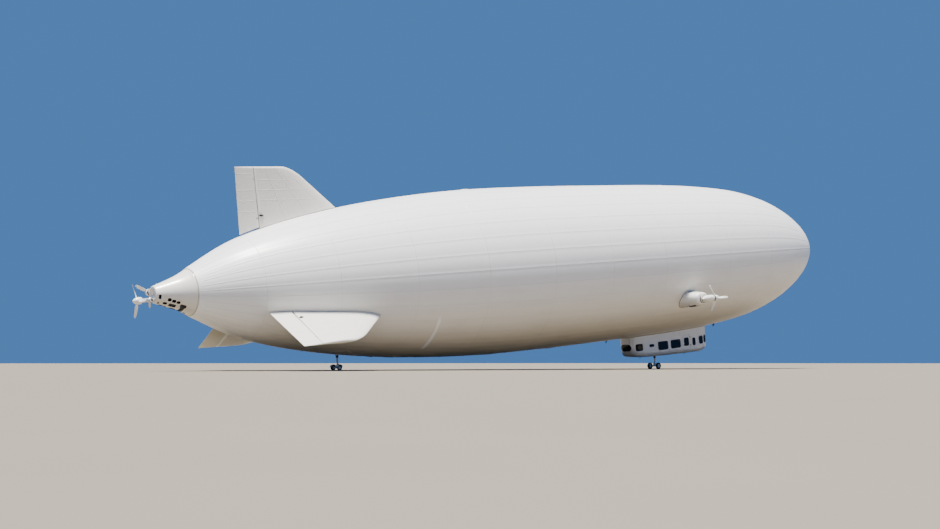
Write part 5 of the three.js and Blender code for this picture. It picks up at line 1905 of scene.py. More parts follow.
def gondola_ring(place, inset):
    wide = gondola_half(place) - inset
    low = gondola_bottom(place) + inset
    corner = min(BILGE_INSET, wide * 0.6)
    half = [(wide, height) for height in spaced(GONDOLA_TOP, low + BILGE_RISE, 8)]
    for i in range(1, 11):
        angle = i / 10 * math.pi / 2
        half.append((wide - corner + corner * math.cos(angle), low + BILGE_RISE * (1 - math.sin(angle))))
    half.append(((wide - corner) / 2, low))
    inwards = inset * (1 - 2 * (place - FIRST) / (LAST - FIRST))
    loop = half + [(0.0, low)] + [(-out, height) for out, height in reversed(half)]
    return [at(place + inwards, out, height) for out, height in loop]


def dome_ring(ring, share, depth):
    """A smaller ring that closes an end with a shallow dome, depth metres proud in the middle."""
    bulge = depth * math.sqrt(1 - share ** 2)
    return [(p.x + bulge, p.y * share, DOME_MIDDLE + (p.z - DOME_MIDDLE) * share) for p in ring]


def gondola_solid(inset):
    rows = [gondola_ring(place, inset) for place in GONDOLA_PLACES]
    front = [dome_ring(rows[0], share, NOSE_DOME) for share in DOME_SHARES]
    back = [dome_ring(rows[-1], share, -TAIL_DOME) for share in DOME_SHARES]
    return grid([*reversed(front), *rows, *back])


outer_gondola, inner_gondola = gondola_solid(0.0), gondola_solid(WALL)
hollow = carved(outer_gondola, inner_gondola)
touch_cabin = feeler(outer_gondola)
print("hollow gondola", len(hollow.faces), "faces")

# %% [markdown]
# ## Panels and window holes
# The hollow loft is divided where the real panels meet, with a hairline seam left between them. The
# windows are cut with rounded prisms, pushed through the sides or through the ends.

# %% Gondola panels
# station, length, middle height, height
SIDE_WINDOWS = [
    (18.95, 0.42, -8.13, 0.72), (21.55, 1.35, -8.13, 0.78), (23.3, 1.35, -8.13, 0.78),
    (24.85, 0.62, -8.0, 0.24),
]
NOSE_SIDE_WINDOWS = [(17.2, 0.42, -8.0, 0.72), (17.9, 0.62, -8.05, 0.74)]
TAIL_SIDE_WINDOW = (26.35, 0.5, -8.05, 0.42)
# out, width, middle height, height
WINDSHIELD = [(-0.3, 0.5, -7.95, 0.62), (0.3, 0.5, -7.95, 0.62)]
CHIN = [(-0.3, 0.44, -8.52, 0.26), (0.3, 0.44, -8.52, 0.26)]
TAIL_WINDOW = (0, 1.24, -8.02, 0.6)
CORNER, TAIL_CORNER = 0.16, 0.3
NOSE_SPLIT, TAIL_SPLIT, FLOOR_SPLIT, ROOF = 18.45, 26.0, -8.86, -7.22
SEAM = 0.004
BEFORE_NOSE, BEHIND_TAIL, BELOW, ABOVE, BESIDE = 16, 28, -10, -6, 2


def side_tool(station, length, height, tall, side, grow=0.0):
    outline = rounded_outline(length + grow, tall + grow, CORNER)
    return prism([at(station - x, side * 0.62, height + y) for x, y in outline], (0, side * 1.4, 0))


def front_tool(out, width, height, tall, start, end, corner=CORNER):
    outline = rounded_outline(width, tall, corner)
    return prism([at(start, out + x, height + y) for x, y in outline], (start - end, 0, 0))


def region(aft_end, fore_end, bottom, top, low=-BESIDE, high=BESIDE):
    """A plain block that keeps one panel of the hollow gondola."""
    outline = [at(station, out, bottom) for station, out in (
        (aft_end, low), (fore_end, low), (fore_end, high), (aft_end, high))]
    return prism(outline, (0, 0, top - bottom))


nose_cuts = joined([
    *[front_tool(*row, 16.0, 16.9) for row in WINDSHIELD + CHIN],
    *[side_tool(*row, side) for row in NOSE_SIDE_WINDOWS for side in BOTH],
])
tail_cuts = joined([
    front_tool(*TAIL_WINDOW, 28.0, 26.75, TAIL_CORNER),
    *[side_tool(*TAIL_SIDE_WINDOW, side) for side in BOTH],
])
nose_block = region(NOSE_SPLIT - SEAM, BEFORE_NOSE, BELOW, ABOVE)
tail_block = region(BEHIND_TAIL, TAIL_SPLIT + SEAM, BELOW, ABOVE)
floor_block = region(TAIL_SPLIT - SEAM, NOSE_SPLIT + SEAM, BELOW, FLOOR_SPLIT - SEAM)
roof_block = region(TAIL_SPLIT, NOSE_SPLIT, ROOF - 0.05, ROOF)
shells = {
    "nose_shell": (carved(carved(hollow, nose_block, "INTERSECT"), nose_cuts), "gondola_nose"),
    "tail_shell": (carved(carved(hollow, tail_block, "INTERSECT"), tail_cuts), "gondola_tail"),
    "tub": (carved(hollow, floor_block, "INTERSECT"), "gondola_floor"),
    "ceiling": (carved(inner_gondola, roof_block, "INTERSECT"), "gondola_roof"),
}
for name, (shape, node) in shells.items():
    make(f"gondola_{name}", shape, CABIN_PAINT, [node], smooth=30)

# %% [markdown]
# ## Side walls and doors
# Each side wall is one panel with its window holes. The door is cut from the same wall, so its skin runs
# on without a step, and it keeps a narrow gap all round to swing in. Half of each hinge rides on the door.

# %% Walls and doors
# station, length, middle height, height
DOOR = (20.025, 1.05, -8.12, 1.4)
DOOR_GAP = 0.024
DOOR_WINDOW = (20.02, 0.66, -8.07, 0.76)
DOOR_HINGE, DOOR_HINGE_OUT, WALL_OUT = 19.49, 1.17, 1.124
DOOR_HINGE_LEVELS = (-7.66, -8.42)


def hinge_parts(side, moving):
    """The knuckles and plates of a door's two hinges: the door's upper halves, or the wall's lower ones."""
    start, end = (0.003, 0.05) if moving else (-0.05, -0.003)
    fore, rear = (DOOR_HINGE, 19.62) if moving else (19.38, DOOR_HINGE)
    out, near = side * DOOR_HINGE_OUT, side * WALL_OUT
    low, high = sorted((near, out))
    parts = []
    for level in DOOR_HINGE_LEVELS:
        parts.append(bar(at(DOOR_HINGE, out, level + start), at(DOOR_HINGE, out, level + end), 0.03, 24, 0.2))
        parts.append(box_between(at(rear, low, level + start), at(fore, high, level + end), 0.006))
        if not moving:
            parts.append(bar(at(DOOR_HINGE, out, level - 0.05), at(DOOR_HINGE, out, level + 0.055), 0.014))
    return joined(parts)


for name, side in SIDES.items():
    low, high = sorted((side * 0.3, side * BESIDE))
    wall_block = region(TAIL_SPLIT - SEAM, NOSE_SPLIT + SEAM, FLOOR_SPLIT + SEAM, ABOVE, low, high)
    panel = carved(hollow, wall_block, "INTERSECT")
    wall = carved(panel, joined([side_tool(*row, side) for row in [DOOR, *SIDE_WINDOWS]]))
    door_leaf = carved(panel, side_tool(*DOOR, side, -DOOR_GAP), "INTERSECT")
    door_leaf = carved(door_leaf, side_tool(*DOOR_WINDOW, side))
    door = f"door_{name}"
    make(f"gondola_wall_{name}", wall, CABIN_PAINT, [f"gondola_side_{name}"], smooth=30)
    make(f"door_leaf_{name}", door_leaf, CABIN_PAINT, [door], door, 30)
    make(f"door_hinges_{name}", hinge_parts(side, True), STEEL, body=door)
    make(f"wall_hinges_{name}", hinge_parts(side, False), STEEL)

# %% [markdown]
# ## Glazing
# The panes are slices of a thin shell a little inside the wall, so they keep its curve. Each is cut with
# the same tools as its hole and reaches from edge to edge of it. A door's pane rides on the door.

# %% Glazing
PANE_OUTSIDE, PANE_INSIDE = 0.02, 0.034
pane_skin = carved(gondola_solid(PANE_OUTSIDE), gondola_solid(PANE_INSIDE))
panes = {"nose": (nose_cuts, "airframe", "glazing_nose"), "tail": (tail_cuts, "airframe", "glazing_tail")}
for name, side in SIDES.items():
    panes[name] = (joined([side_tool(*row, side) for row in SIDE_WINDOWS]), "airframe", f"glazing_{name}")
    panes[f"door_{name}"] = (side_tool(*DOOR_WINDOW, side), f"door_{name}", f"door_glass_{name}")
for name, (tool, body, node) in panes.items():
    make(f"pane_{name}", carved(pane_skin, tool, "INTERSECT"), GLASS, [node], body, 30)

# %% [markdown]
# ## Window seals
# A black rubber bead runs round every opening, on the wall's own surface. To find that surface a feeler
# looks inwards from outside the cabin.

# %% Window seals
OUTSIDE = 3
TURN_STEPS = 8


def opening(width, tall, corner):
    """A rounded rectangle with points along its straight sides too, because the walls are curved."""
    turns = rounded_outline(width, tall, corner, TURN_STEPS)
    outline = []
    for i, (x, y) in enumerate(turns):
        outline.append((x, y))
        if i % (TURN_STEPS + 1) == TURN_STEPS:
            to_x, to_y = turns[(i + 1) % len(turns)]
            outline += [(x + (to_x - x) * share, y + (to_y - y) * share) for share in (0.2, 0.4, 0.6, 0.8)]
    return outline


def wall_point(station, height, side, proud=0.0):
    """A point on a side wall, or a little out of it."""
    return touch_cabin(at(station, side * OUTSIDE, height), (0, -side, 0)) + Vector((0, side * proud, 0))


def side_bead(station, length, height, tall, side, corner=CORNER, radius=0.017, sunk=0.0):
    path = [wall_point(station - x, height + y, side, -sunk) for x, y in opening(length, tall, corner)]
    return pipe(path, radius, closed=True)


def end_bead(out, width, height, tall, start, ahead, corner=CORNER):
    outline = opening(width, tall, corner)
    path = [touch_cabin(at(start, out + x, height + y), (-ahead, 0, 0)) for x, y in outline]
    return pipe(path, 0.017, closed=True)


beaded = [*SIDE_WINDOWS, *NOSE_SIDE_WINDOWS, TAIL_SIDE_WINDOW]
seals = [side_bead(*row, side) for row in beaded for side in BOTH]
seals += [end_bead(*row, 15.0, 1) for row in WINDSHIELD + CHIN]
seals.append(end_bead(*TAIL_WINDOW, 29.0, -1, TAIL_CORNER))
make("window_seals", joined(seals), RUBBER)

# %% [markdown]
# ## Borders and door seals
# Round the tail side window a wide black border is bonded on. A door has a bead round its window, which
# swings with it, and the frame round the door has an ochre one, which stays.

# %% Borders and door seals
# station, length, middle height, height
SURROUND = (26.42, 0.78, -8.04, 0.66)
SURROUND_INNER_CORNER = 0.24


def side_surround(inner, outer, side, lift=0.004):
    """A black bonded border round a side window: rows from its outer edge to the hole, on the wall."""
    outlines = []
    for (station, length, height, tall), corner in ((outer, CORNER), (inner, SURROUND_INNER_CORNER)):
        outlines.append([(station - x, height + y) for x, y in opening(length, tall, corner)])
    rows = []
    for share in (0, 0.03, 0.2, 0.4, 0.6, 0.8, 1):
        proud = lift if share else -0.003
        rows.append([
            wall_point(a + (c - a) * share, b + (d - b) * share, side, proud)
            for (a, b), (c, d) in zip(*outlines)
        ])
    return grid(rows, caps=False)


borders = [side_surround(TAIL_SIDE_WINDOW, SURROUND, side) for side in BOTH]
make("window_borders", joined(borders), BORDER_BLACK)
station, length, height, tall = DOOR
for name, side in SIDES.items():
    make(f"door_window_seal_{name}", side_bead(*DOOR_WINDOW, side), RUBBER, body=f"door_{name}")
    frame_bead = side_bead(station, length + 0.024, height, tall + 0.024, side, 0.17, 0.012, 0.009)
    make(f"door_frame_seal_{name}", frame_bead, OCHRE_SEAL_AND_SHADE)

# %% [markdown]
# ## Skirt and rub strips
# An ochre skirt runs round the joint between the cabin and the skin: a bead in the corner and a flat band
# bonded to the envelope. Its ochre is painted shade for the dark line in that joint. A bright rub strip
# covers the joint of the side walls and the tub.


# %% Skirt and rub strips
def skirt(lift, grow):
    """Points where the cabin's outline, grown a little, meets the skin above it."""
    sides = [(place, gondola_half(place) + grow) for place in GONDOLA_PLACES]
    shares = spaced(-0.8, 0.8, 9)
    front = [(FIRST - grow - NOSE_DOME * (1 - share ** 2), share * sides[0][1]) for share in shares]
    back = [(LAST + grow + TAIL_DOME * (1 - share ** 2), -share * sides[-1][1]) for share in shares]
    outline = front + sides + back + [(place, -out) for place, out in reversed(sides)]
    return [near_keel(station, out, lift) for station, out in outline]


# lift, grow
SKIRT_BAND = ((0.006, 0.0), (0.014, 0.02), (0.014, 0.18), (TUCK, 0.19))
skirt_bead = pipe(skirt(0.004, 0.03), 0.05, closed=True, flat=0.7)
skirt_band = grid([skirt(*row) for row in SKIRT_BAND], caps=False)
# the skirt's ochre is painted shade for the dark line at the cabin's joint with the skin
make("gondola_skirt_shade", joined([skirt_bead, skirt_band]), OCHRE_SEAL_AND_SHADE)
rub_strips = [
    pipe([wall_point(station, FLOOR_SPLIT, side) for station in spaced(17.15, 26.4, 40)], 0.014)
    for side in BOTH
]
make("rub_strips", joined(rub_strips), BRIGHT)

# %% [markdown]
# ## Handles, rails and steps
# People climb aboard while the craft rocks on its mast, so each door has a handle, a rail beside it, a
# second one low on the wall and a step with ribs against slipping. They are stood on the wall by a matrix.


# %% Handles, rails and steps
def on_wall(station, height, side):
    """A matrix that stands a piece on a side wall: local X forward, local Z out of the wall."""
    return shift(wall_point(station, height, side)) @ Matrix.Rotation(-side * math.pi / 2, 4, "X")


def paddle_handle():
    plate = prism([(x, y, -0.004) for x, y in rounded_outline(0.17, 0.075, 0.035)], (0, 0, 0.008))
    lever = soft_box((0.12, 0.026, 0.018), 0.007, 3).moved(shift((0.005, 0, 0.013)))
    lock = turned([(0, 0.012), (0.012, 0.012), (0.016, 0.008), (0.016, 0), (0, 0)], 20)
    return joined([plate, lever, lock.moved(shift((-0.062, 0, 0.004)))])


def grab_rail(length, standoff, radius):
    """A rail along local X with a foot at each end."""
    half = length / 2
    bend = [(-half, 0), (-half, 0.6), (-half + 0.02, 0.9), (-half + 0.05, 1)]
    bend += [(-x, share) for x, share in reversed(bend)]
    foot = turned([(0, 0.008), (0.026, 0.008), (0.03, 0.004), (0.03, -0.004), (0, -0.004)], 20)
    feet = [foot.moved(shift((x, 0, 0))) for x in (-half, half)]
    return joined([pipe([(x, 0, standoff * share) for x, share in bend], radius, 12), *feet])


def round_port(radius):
    return turned([
        (radius * 0.7, 0.0), (radius * 0.78, 0.010), (radius * 0.95, 0.010), (radius, 0.003),
        (radius, -0.006), (0, -0.006), (0, 0.001), (radius * 0.7, 0.0),
    ], 28)


def door_step(side):
    """A plate on two brackets, with three ribs."""
    plate = box_between(at(20.30, side * 1.0, -8.965), at(19.76, side * 1.23, -8.940), 0.008)
    brackets = [bar(at(s, side * 1.17, -8.952), at(s, side * 1.09, -8.84), 0.011, 10) for s in (19.84, 20.22)]
    ribs = [
        box_between(at(20.28, side * out, -8.941), at(19.78, side * (out + 0.012), -8.934), 0.002)
        for out in (1.06, 1.12, 1.18)
    ]
    return joined([plate, *brackets, *ribs])


# radius, station, height
SERVICE_PORTS = [(0.045, 22.42, -8.64), (0.035, 22.56, -8.58)]
on_end = Matrix.Rotation(math.pi / 2, 4, "Z")
for name, side in SIDES.items():
    handle = paddle_handle().moved(on_wall(20.40, -8.36, side))
    make(f"door_handle_{name}", handle, BLACK_AND_HOLLOW_SHADE, body=f"door_{name}")
    rail = grab_rail(0.5, 0.06, 0.011).moved(on_wall(20.70, -8.15, side) @ on_end)
    foot_rail = grab_rail(0.95, 0.05, 0.010).moved(on_wall(21.65, -8.66, side))
    make(f"grab_rails_{name}", joined([rail, foot_rail]), ALUMINIUM)
    ports = [round_port(radius).moved(on_wall(*place, side)) for radius, *place in SERVICE_PORTS]
    make(f"service_ports_{name}", joined(ports), BLACK_AND_HOLLOW_SHADE)
    make(f"door_step_{name}", door_step(side), ALUMINIUM)

# %% [markdown]
# ## Under the cabin
# Two landing lamps look out of the chin. Small ports, blade antennas and the pitot tube, which measures
# the speed through the air, break up the belly.

# %% Belly fittings
LAMP_STATION, LAMP_OUT = 17.75, 0.38
PITOT_STATION = 17.05
# distance ahead of the tube's foot, height above it
PITOT_BEND = [(0, 0.02), (0.02, -0.05), (0.08, -0.09), (0.20, -0.095), (0.34, -0.095)]


def belly_point(station, out):
    return touch_cabin(at(station, out, -12), (0, 0, 1))


def under(station, out):
    """A matrix that hangs a piece from the gondola's belly, local Z down."""
    return shift(belly_point(station, out)) @ Matrix.Rotation(math.pi, 4, "X")


lamp_ring = turned([
    (0.085, 0.0), (0.09, 0.016), (0.105, 0.018), (0.118, 0.008), (0.12, -0.02), (0.085, -0.02), (0.085, 0.0),
], 40)
lamp_glass = turned([(0, 0.016), (0.04, 0.014), (0.07, 0.008), (0.086, 0.0), (0.086, -0.02), (0, -0.02)], 40)
lamp_places = [under(LAMP_STATION, out) for out in (-LAMP_OUT, LAMP_OUT)]
make("landing_lamp_rings", joined([lamp_ring.moved(p) for p in lamp_places]), BLACK_AND_HOLLOW_SHADE)
make("landing_lamp_glasses", joined([lamp_glass.moved(p) for p in lamp_places]), CLEAR_LAMP)
belly_ports = [(0.06, 21.2, -0.1), (0.04, 22.45, 0.35), (0.05, 25.2, 0.0)]
belly_bits = [round_port(radius).moved(under(*place)) for radius, *place in belly_ports]
belly_blade = blade_antenna(0.13, 0.16, 0.06)
belly_bits += [belly_blade.moved(under(*place)) for place in ((24.9, 0.4), (19.2, 0.0))]
make("belly_fittings", joined(belly_bits), BLACK_AND_HOLLOW_SHADE)
tube_foot = belly_point(PITOT_STATION, 0.0)
tube = pipe([tube_foot + Vector((ahead, 0, up)) for ahead, up in PITOT_BEND], 0.013, 12)
make("pitot_tube", joined([tube, round_port(0.035).moved(under(PITOT_STATION, 0.0))]), STEEL)

# %% [markdown]
# ## Wheels
# Each gear has two wheels on one axle. Tyres are turned, with grooves, and their rims have bolts and a hub
# cap. A wheel is as large as the solid's flats allow, so it just touches the floor.

# %% Wheels
# station, foot of the leg, axle height, wheel radius, wheel width, half track, seat height
GEARS = {
    "main": (23.4, -9.66, -10.02, 0.30, 0.20, 0.53, -9.05),
    "tail": (58.8, -6.3, -6.59, 0.21, 0.15, 0.45, -5.585),
}
TRAIL = 0.14
WHEEL_FLATS = 24
FLOOR_GAP = 0.0008


def tyre_profile(radius, width):
    """Radius against distance across the wheel, from bead to bead over the tread."""
    half = width / 2
    rim = radius * 0.56
    points = [
        (rim, -half * 0.72), (rim * 1.06, -half * 0.9), (radius * 0.8, -half), (radius * 0.93, -half * 0.93),
        (radius * 0.985, -half * 0.74),
    ]
    shoulder = [(r, -x) for r, x in reversed(points)]
    for groove in (-0.5, -0.17, 0.17, 0.5):
        for across, depth in ((-0.07, 0), (-0.05, 0.04), (0.05, 0.04), (0.07, 0)):
            points.append((radius * (1 - depth), half * (groove + across)))
    return points + shoulder


def wheel_parts(radius, width):
    """A tyre, and its rim with hub cap and bolts, about the Z axis, outer side up."""
    half = width / 2
    profile = tyre_profile(radius, width)
    tyre = turned([*profile, (radius * 0.52, half * 0.5), (radius * 0.52, -half * 0.5), profile[0]], 72)
    # shares of the wheel's radius and of its half width
    rim = turned([(radius * r, half * x) for r, x in (
        (0, -0.7), (0.2, -0.7), (0.24, -0.3), (0.48, -0.35), (0.55, -0.8), (0.58, -0.8), (0.54, -0.4),
        (0.54, 0.4), (0.58, 0.8), (0.55, 0.8), (0.48, 0.35), (0.24, 0.3), (0.2, 0.62), (0.17, 0.72),
        (0, 0.75),
    )])
    heads = bolts((0, 0, half * 0.31), (0, 0, 1), radius * 0.36, 8, radius * 0.035, radius * 0.05)
    return tyre, joined([rim, heads])


for name, (station, _, axle, radius, width, track, _) in GEARS.items():
    axle_at = at(station + TRAIL, 0, axle)
    track_out = Vector((0, track, 0))
    outward = [facing(axle_at + track_out * side, (0, side, 0)) for side in BOTH]
    parts = wheel_parts(radius * math.cos(math.pi / WHEEL_FLATS) - FLOOR_GAP, width)
    tyres, rims = [joined([part.moved(place) for place in outward]) for part in parts]
    axle_rod = bar(axle_at - track_out, axle_at + track_out, 0.034, 20)
    wheels = f"{name}_wheels"
    make(f"{name}_tyres", tyres, TYRE, [wheels], wheels, 40)
    make(f"{name}_rims", joined([rims, axle_rod]), ALUMINIUM, body=wheels)

# %% [markdown]
# ## Legs and forks
# A gear's leg is bolted under the hull or the cabin, with rubber bellows over its sliding tube. A
# castoring fork below it carries the axle beam a little behind the leg, so the wheels trail by themselves.

# %% Legs and forks
# radius, then 0 for the seat or 1 for the foot, and the height from there
LEG = [
    (0, 0, 0.06), (0.165, 0, 0.06), (0.17, 0, 0.05), (0.17, 0, -0.035), (0.16, 0, -0.045), (0.10, 0, -0.06),
    (0.08, 0, -0.10), (0.075, 0, -0.14), (0.075, 1, 0.06), (0.068, 1, 0.055), (0.068, 1, 0.03),
    (0.075, 1, 0.025), (0.075, 1, 0), (0.04, 1, 0), (0.04, 1, -0.12), (0, 1, -0.12),
]
# radius, height below the top
FORK_HEAD = [
    (0.0, -0.16), (0.10, -0.16), (0.11, -0.15), (0.11, -0.01), (0.10, 0), (0.05, 0), (0.05, -0.1), (0, -0.1),
]
BELLOWS_FOLDS = 7


def bellows(seat):
    ridges = [(0.078, seat - 0.05)]
    for i in range(BELLOWS_FOLDS):
        ridges += [(0.125 - 0.004 * i, seat - 0.058 - 0.026 * i), (0.092, seat - 0.071 - 0.026 * i)]
    return turned([*ridges, (0.078, seat - 0.25), ridges[0]], 40)


def fork(station, axle, track, width, top):
    """The head about the leg, the arm back to the axle, and the axle beam with its collars."""
    axle_at = at(station + TRAIL, 0, axle)
    head = turned([(radius, top + height) for radius, height in FORK_HEAD], 40)
    head = head.moved(shift(at(station, 0, 0)))
    aft_low = at(station + TRAIL + 0.05, -0.09, axle - 0.05)
    arm = box_between(aft_low, at(station - 0.05, 0.09, top - 0.08), 0.02, 3)
    reach = track - width / 2 - 0.012
    beam = bar(axle_at - Vector((0, reach, 0)), axle_at + Vector((0, reach, 0)), 0.06, 28, 0.2)
    collar = turned([(0.06, -0.02), (0.072, -0.02), (0.072, 0.02), (0.06, 0.02), (0.06, -0.02)], 28)
    outs = (-reach + 0.04, -0.13, 0.13, reach - 0.04)
    collars = [collar.moved(facing(axle_at + Vector((0, out, 0)), (0, 1, 0))) for out in outs]
    return joined([head, arm, beam, *collars])


fork_paints = {"main": ALUMINIUM, "tail": SHELL_PAINT}
for name, (station, foot, axle, _, width, track, seat) in GEARS.items():
    below = shift(at(station, 0, 0))
    leg = turned([(radius, (seat, foot)[which] + height) for radius, which, height in LEG], 40).moved(below)
    make(f"{name}_leg", leg, SHELL_PAINT, [f"{name}_gear_leg"])
    leg_bolts = bolts(at(station, 0, seat - 0.035), (0, 0, -1), 0.135, 8, 0.014, 0.02)
    make(f"{name}_leg_bolts", leg_bolts, STEEL)
    make(f"{name}_leg_bellows", bellows(seat).moved(below), RUBBER)
    shape = fork(station, axle, track, width, foot - 0.012)
    make(f"{name}_fork", shape, fork_paints[name], [f"{name}_gear_fork"], f"{name}_castor")

# %% [markdown]
# ## Mudguards
# The tail wheels throw dirt at the stern propeller, so each has a guard over its top. The guard is one
# section carried round an arc, on two stays from the axle beam, and it turns with the fork.

# %% Mudguards
GUARD_SWEEP, STAY_TURN = math.radians(78), math.radians(45)


def mudguard(axle_at, side, track, width, radius):
    """A curved guard over the top of one wheel, on two stays from the axle beam."""
    half = width / 2 + 0.03
    over = radius + 0.035
    section = [
        (-half, 0.045), (-half, 0.004), (-half + 0.008, 0), (half - 0.008, 0), (half, 0.004), (half, 0.045),
        (half - 0.006, 0.045), (half - 0.006, 0.014), (0.006 - half, 0.014), (0.006 - half, 0.045),
    ]
    rows = []
    for angle in spaced(-GUARD_SWEEP, GUARD_SWEEP, 25):
        outwards = Vector((math.sin(angle), 0, math.cos(angle)))
        rows.append([
            axle_at + outwards * (over + 0.014 - drop) + Vector((0, side * track + across, 0))
            for across, drop in section
        ])
    hub = axle_at + Vector((0, side * (track - half + 0.003), 0))
    stays = [
        bar(hub, hub + Vector((math.sin(turn) * over, 0, math.cos(turn) * over)), 0.012, 12)
        for turn in (-STAY_TURN, STAY_TURN)
    ]
    return joined([grid(rows), *stays])


station, _, axle, radius, width, track, _ = GEARS["tail"]
axle_at = at(station + TRAIL, 0, axle)
guards = [mudguard(axle_at, side, track, width, radius) for side in BOTH]
make("tail_mudguards", joined(guards), SHELL_PAINT, body="tail_castor")

# %% [markdown]
# ## Seat pads
# A real pad is a cover sewn round foam that pushes outwards everywhere. It starts as a rounded block with a
# crowned top, its sides pulled in at the corners. One cushion, one back and one head pad are made and used
# for every seat.

# %% Seat pads
SEAT_WIDTH, SEAT_DEPTH, SEAT_HEIGHT = 0.46, 0.46, 0.42
# depth, width, thickness, crown, and where channels are sewn across
PADS = [
    (SEAT_DEPTH - 0.03, SEAT_WIDTH - 0.03, 0.09, 0.012, (-0.08, 0.07)),
    (0.47, SEAT_WIDTH - 0.05, 0.07, 0.01, (-0.12, 0.0, 0.12)),
    (0.14, SEAT_WIDTH - 0.16, 0.06, 0.008, ()),
]


def pad(depth, width, thick, crown):
    """A stuffed block: rounded edges, its top swelling to a crown, its sides pulled in at the corners."""
    shape = soft_box((depth, width, thick), thick * 0.38, 4)
    for point in shape.points:
        x, y = point.x / (depth / 2), point.y / (width / 2)
        swell = max(0.0, 1 - x * x) * max(0.0, 1 - y * y)
        if point.z > 0:
            point.z += crown * swell
        point.x *= 1 + 0.03 * (1 - y * y)
        point.y *= 1 + 0.03 * (1 - x * x)
    return shape


pads = [pad(*row[:4]) for row in PADS]
print("pads before stuffing", [len(shape.faces) for shape in pads])

# %% [markdown]
# ## Stuffing the pads
# Blender's own cloth blows each pad up. The block gets an even net of small faces first, pressure pushes it
# outwards while its underside is held, and a cap limits how far any point may go.


# %% Stuffing
PAD_VOXEL = 0.02
PAD_CAP = 0.022
PAD_MOMENTS = 20


def stuffed(shape, cap):
    """The pad blown up by Blender's cloth, as stuffing does. Its underside stays flat where it rests."""
    pillow = as_object(shape, "pillow")
    again = pillow.modifiers.new("remesh", "REMESH")
    again.mode = "VOXEL"
    again.voxel_size = PAD_VOXEL
    even = bpy.data.meshes.new_from_object(pillow.evaluated_get(bpy.context.evaluated_depsgraph_get()))
    pillow.modifiers.clear()
    pillow.data = even
    before = [v.co.copy() for v in even.vertices]
    low = min(point.z for point in before)
    rest = pillow.vertex_groups.new(name="rest")
    rest.add([i for i, point in enumerate(before) if point.z < low + PAD_VOXEL * 0.6], 1.0, "REPLACE")
    cloth = pillow.modifiers.new("stuffing", "CLOTH")
    cloth.settings.use_pressure = True
    cloth.settings.uniform_pressure_force = 4
    cloth.settings.vertex_group_mass = "rest"
    cloth.settings.effector_weights.gravity = 0
    scene = bpy.context.scene
    for moment in range(1, PAD_MOMENTS + 1):
        scene.frame_set(moment)
    done = pillow.evaluated_get(bpy.context.evaluated_depsgraph_get()).to_mesh()
    points = []
    for start, end in zip(before, [v.co.copy() for v in done.vertices]):
        move = end - start
        points.append(start + move * min(1.0, cap / max(move.length, 1e-9)))
    faces = [tuple(p.vertices) for p in done.polygons]
    scene.frame_set(1)
    bpy.data.objects.remove(pillow)
    return Shape(points, faces)


pads = [stuffed(shape, PAD_CAP) for shape in pads]
print("pads after stuffing", [len(shape.faces) for shape in pads])

# %% [markdown]
# ## Sewing the pads
# Channels are sewn across the stuffed pads and a welt round their middles. They come after the cloth,
# because its net of faces would lose anything as narrow as a seam.


# %% Sewing
def sewn(shape, lines, depth=0.012, width=0.018):
    """Channels sewn across the top of a pad, and a welt round its middle."""
    touch = feeler(shape)
    welt = pipe([touch((x, y, 0), (-x, -y, 0)) for x, y in compass(64)], 0.007, 6, closed=True)
    points = []
    for point in shape.points:
        dip = sum(math.exp(-((point.x - line) / width) ** 2) for line in lines) if point.z > 0 else 0.0
        points.append(point - Vector((0, 0, depth * dip)))
    return joined([Shape(points, shape.faces), welt])


seat_pad, back_pad, head_pad = [sewn(shape, row[4]) for shape, row in zip(pads, PADS)]
print("pad faces", len(seat_pad.faces), len(back_pad.faces), len(head_pad.faces))

# %% [markdown]
# ## Seats
# Two crew seats and six rows of passenger seats stand either side of an aisle. Each seat is a cushion, a
# leaning back and a head pad on a metal frame. They show only dimly through the tinted glass.

# %% Seats
SEAT_ROWS = [17.95, 19.4, 20.6, 21.5, 22.4, 23.3, 24.2]
SEAT_OUT = 0.55
RECLINE = Matrix.Rotation(math.radians(-100), 4, "Y")
leaning = shift((-SEAT_DEPTH / 2 + 0.01, 0, SEAT_HEIGHT)) @ RECLINE
cushions = joined([
    seat_pad.moved(shift((0, 0, SEAT_HEIGHT - 0.055))),
    back_pad.moved(leaning @ shift((0.25, 0, 0))),
    head_pad.moved(leaning @ shift((0.55, 0, 0.0))),
])
feet = [(x, y) for x in (-0.14, 0.14) for y in (-0.15, 0.15)]
stand = joined([
    *[bar((x, y, 0.0), (x * 0.7, y, SEAT_HEIGHT - 0.1), 0.014, 10) for x, y in feet],
    box_between((-0.19, -0.17, SEAT_HEIGHT - 0.13), (0.19, 0.17, SEAT_HEIGHT - 0.105), 0.008),
])
places = []
for station in SEAT_ROWS:
    floor_height = gondola_bottom(station) + WALL
    places += [shift(at(station, side * SEAT_OUT, floor_height)) for side in (-1, 1)]
all_cushions = joined([cushions.moved(place) for place in places])
seat_pads = make("seat_pads", all_cushions, LEATHER, ["seats"], smooth=50)
make("seat_frames", joined([stand.moved(p) for p in places]), ALUMINIUM)

cover_rows = []
for station in spaced(17.3, 26.2, 24):
    reach = gondola_half(station) - BILGE_INSET - WALL
    height = gondola_bottom(station) + WALL + 0.008
    outs = spaced(-reach, reach, 9)
    under_side = [at(station, out, height - 0.006) for out in reversed(outs)]
    cover_rows.append([at(station, out, height) for out in outs] + under_side)
make("cabin_floor_cover", grid(cover_rows), FLOOR_COVER, smooth=60)

# %% [markdown]
# ## The instrument console
# The console stands across the nose, cut to the inside of the shell. Four screens with raised bezels face
# the crew, with a glare shield over them, and a pedestal and two columns carry levers and grips.

# %% Console
SCREEN_OUTS = (-0.405, -0.14, 0.14, 0.405)
LEVER_OUTS = (-0.06, 0.0, 0.06)
COLUMN_OUTS = (-0.26, 0.26)
